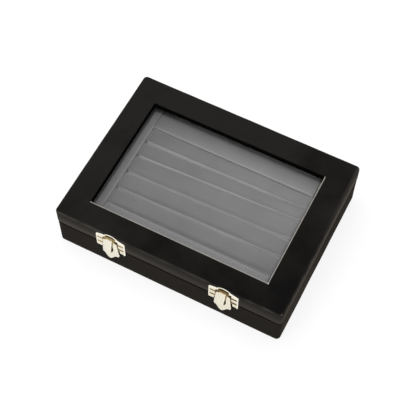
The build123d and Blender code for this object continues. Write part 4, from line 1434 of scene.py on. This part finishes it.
# %% Nails
clasp_nail = {"slot": "clasp_metal", "metal": champagne, "centres": clasp_x.values(), "radius": 0.8 * MM,
              "height": 0.4 * MM, "turn": math.pi / 2}
hinge_nail = {"slot": "hinge_metal", "metal": hinge_brass, "centres": hinge_x.values(), "radius": 1.1 * MM,
              "height": 0.6 * MM, "turn": -math.pi / 2}
nail_sets = {
    "clasp_plate_nails": ("lid", clasp_nail, 4.0 * MM, lid_front - 0.6 * MM, 38.23 * MM, 3),
    "clasp_keeper_nails": ("base", clasp_nail, 3.0 * MM, base_front - keeper_sheet, 22.4 * MM, 5),
    "hinge_lid_nails": ("lid", hinge_nail, 7.5 * MM, lid_high.y + hinge_sheet, 36.45 * MM, 7),
    "hinge_base_nails": ("base", hinge_nail, 7.5 * MM, base_high.y + hinge_sheet, 23.25 * MM, 11),
}
for node, (body, nail, reach, y, z, seed) in nail_sets.items():
    points = [(x + side * reach, y, z) for x in nail["centres"] for side in (-1, 1)]
    heads = nail_heads(f"{node}_skin", points, nail["radius"], nail["height"], nail["turn"], seed, nail["metal"])
    ride_for(heads, body, node)
    print(node, "heads", len(points), "points", len(heads.data.vertices))

# %% [markdown]
# A sheet of felt under the base keeps the box from scratching a table. Its corners are rounded by
# drawing each corner square of the grid onto a quarter circle.

# %% Underside felt
felt_low, felt_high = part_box("underside_felt")
felt_corner = 4.5 * MM
felt_xs, felt_ys, felt_gx = grid_over(felt_low, felt_high, 4 * MM, 4 * MM, felt_corner)[:3]
felt_sheet = grid_block("felt_sheet", felt_xs, felt_ys, np.full_like(felt_gx, felt_high.z), felt_low.z, felt, 2)
felt_points = points_of(felt_sheet)
centre = np.array([felt_high.x - felt_corner, felt_high.y - felt_corner])
beyond = np.maximum(np.abs(felt_points[:, :2]) - centre, 0)
length = np.linalg.norm(beyond, axis=1)
shrink = np.where(length > 0, beyond.max(1) / np.maximum(length, 1e-9), 1)[:, None]
sides = np.sign(felt_points[:, :2])
in_corner = beyond.min(1)[:, None] > 0
felt_points[:, :2] = np.where(in_corner, sides * (centre + beyond * shrink), felt_points[:, :2])
move_points(felt_sheet, felt_points)
ride_for(felt_sheet, "base", "underside_felt")
print("felt points", len(felt_points))

# %% [markdown]
# The boards and card inside are hardly seen, but they show when the box is open or taken
# apart. Fibreboard is a warm brown felt of wood fibres, and card is a plain grey. The strips
# round the pane are black card, painted shade for the dark reveal round the window.

# %% Board and card materials
def board(name, deep, pale, grain):
    """Fibreboard or card with short fibres in two tones."""
    material, tree, shader = new_material(name)
    where = new_node(tree, "ShaderNodeTexCoord")
    stretch = new_node(tree, "ShaderNodeMapping", in_Scale=(1.0, 1.0, 6.0))
    fibres = new_node(tree, "ShaderNodeTexNoise", in_Scale=grain, in_Detail=6.0)
    colour = new_node(tree, "ShaderNodeMix", data_type="RGBA")
    set_inputs(colour, A=(*deep, 1), B=(*pale, 1))
    bump = new_node(tree, "ShaderNodeBump", in_Strength=0.3, in_Distance=0.0002)
    wire(tree, (where, "Object", stretch, "Vector"), (stretch, 0, fibres, "Vector"),
         (fibres, "Fac", colour, "Factor"), (colour, "Result", shader, "Base Color"),
         (fibres, "Fac", bump, "Height"), (bump, 0, shader, "Normal"))
    set_inputs(shader, Roughness=0.85)
    return material


fibreboard = board("fibreboard", linear(126, 98, 68), linear(166, 134, 98), 700.0)
grey_card = board("grey_card", linear(120, 118, 114), linear(150, 148, 143), 1200.0)
shaded_black_card = board("shaded_black_card", linear(14, 13, 13), linear(24, 23, 22), 1200.0)
print("boards", fibreboard.name, grey_card.name, shaded_black_card.name)

# %% [markdown]
# The boards need no skin of their own. They keep the shapes of the model and only take a finish,
# chosen by the slot that the model's record gives to each piece.

# %% Carried-over solids
slot_materials = {"black_velvet": black_velvet, "grey_velvet": grey_velvet, "underside_felt": felt,
                  "frame_board": fibreboard, "grey_card": grey_card, "clasp_metal": champagne,
                  "hinge_metal": hinge_brass}
node_slots = {entry["node"]: entry["material_slot"] for entry in frame["record"]["subparts"]}
print("slots", sorted(set(node_slots.values())))
for name, thing in frame["nodes"].items():
    # Painted shade: the packing strips take black card, to stay dark in the reveal.
    material = shaded_black_card if name == "glass_packing_strips" else slot_materials.get(node_slots.get(name))
    if material and not thing.hide_render:
        thing.data.materials.clear()
        thing.data.materials.append(material)
print("solids kept", sorted(n for n, o in frame["nodes"].items() if not o.hide_render))
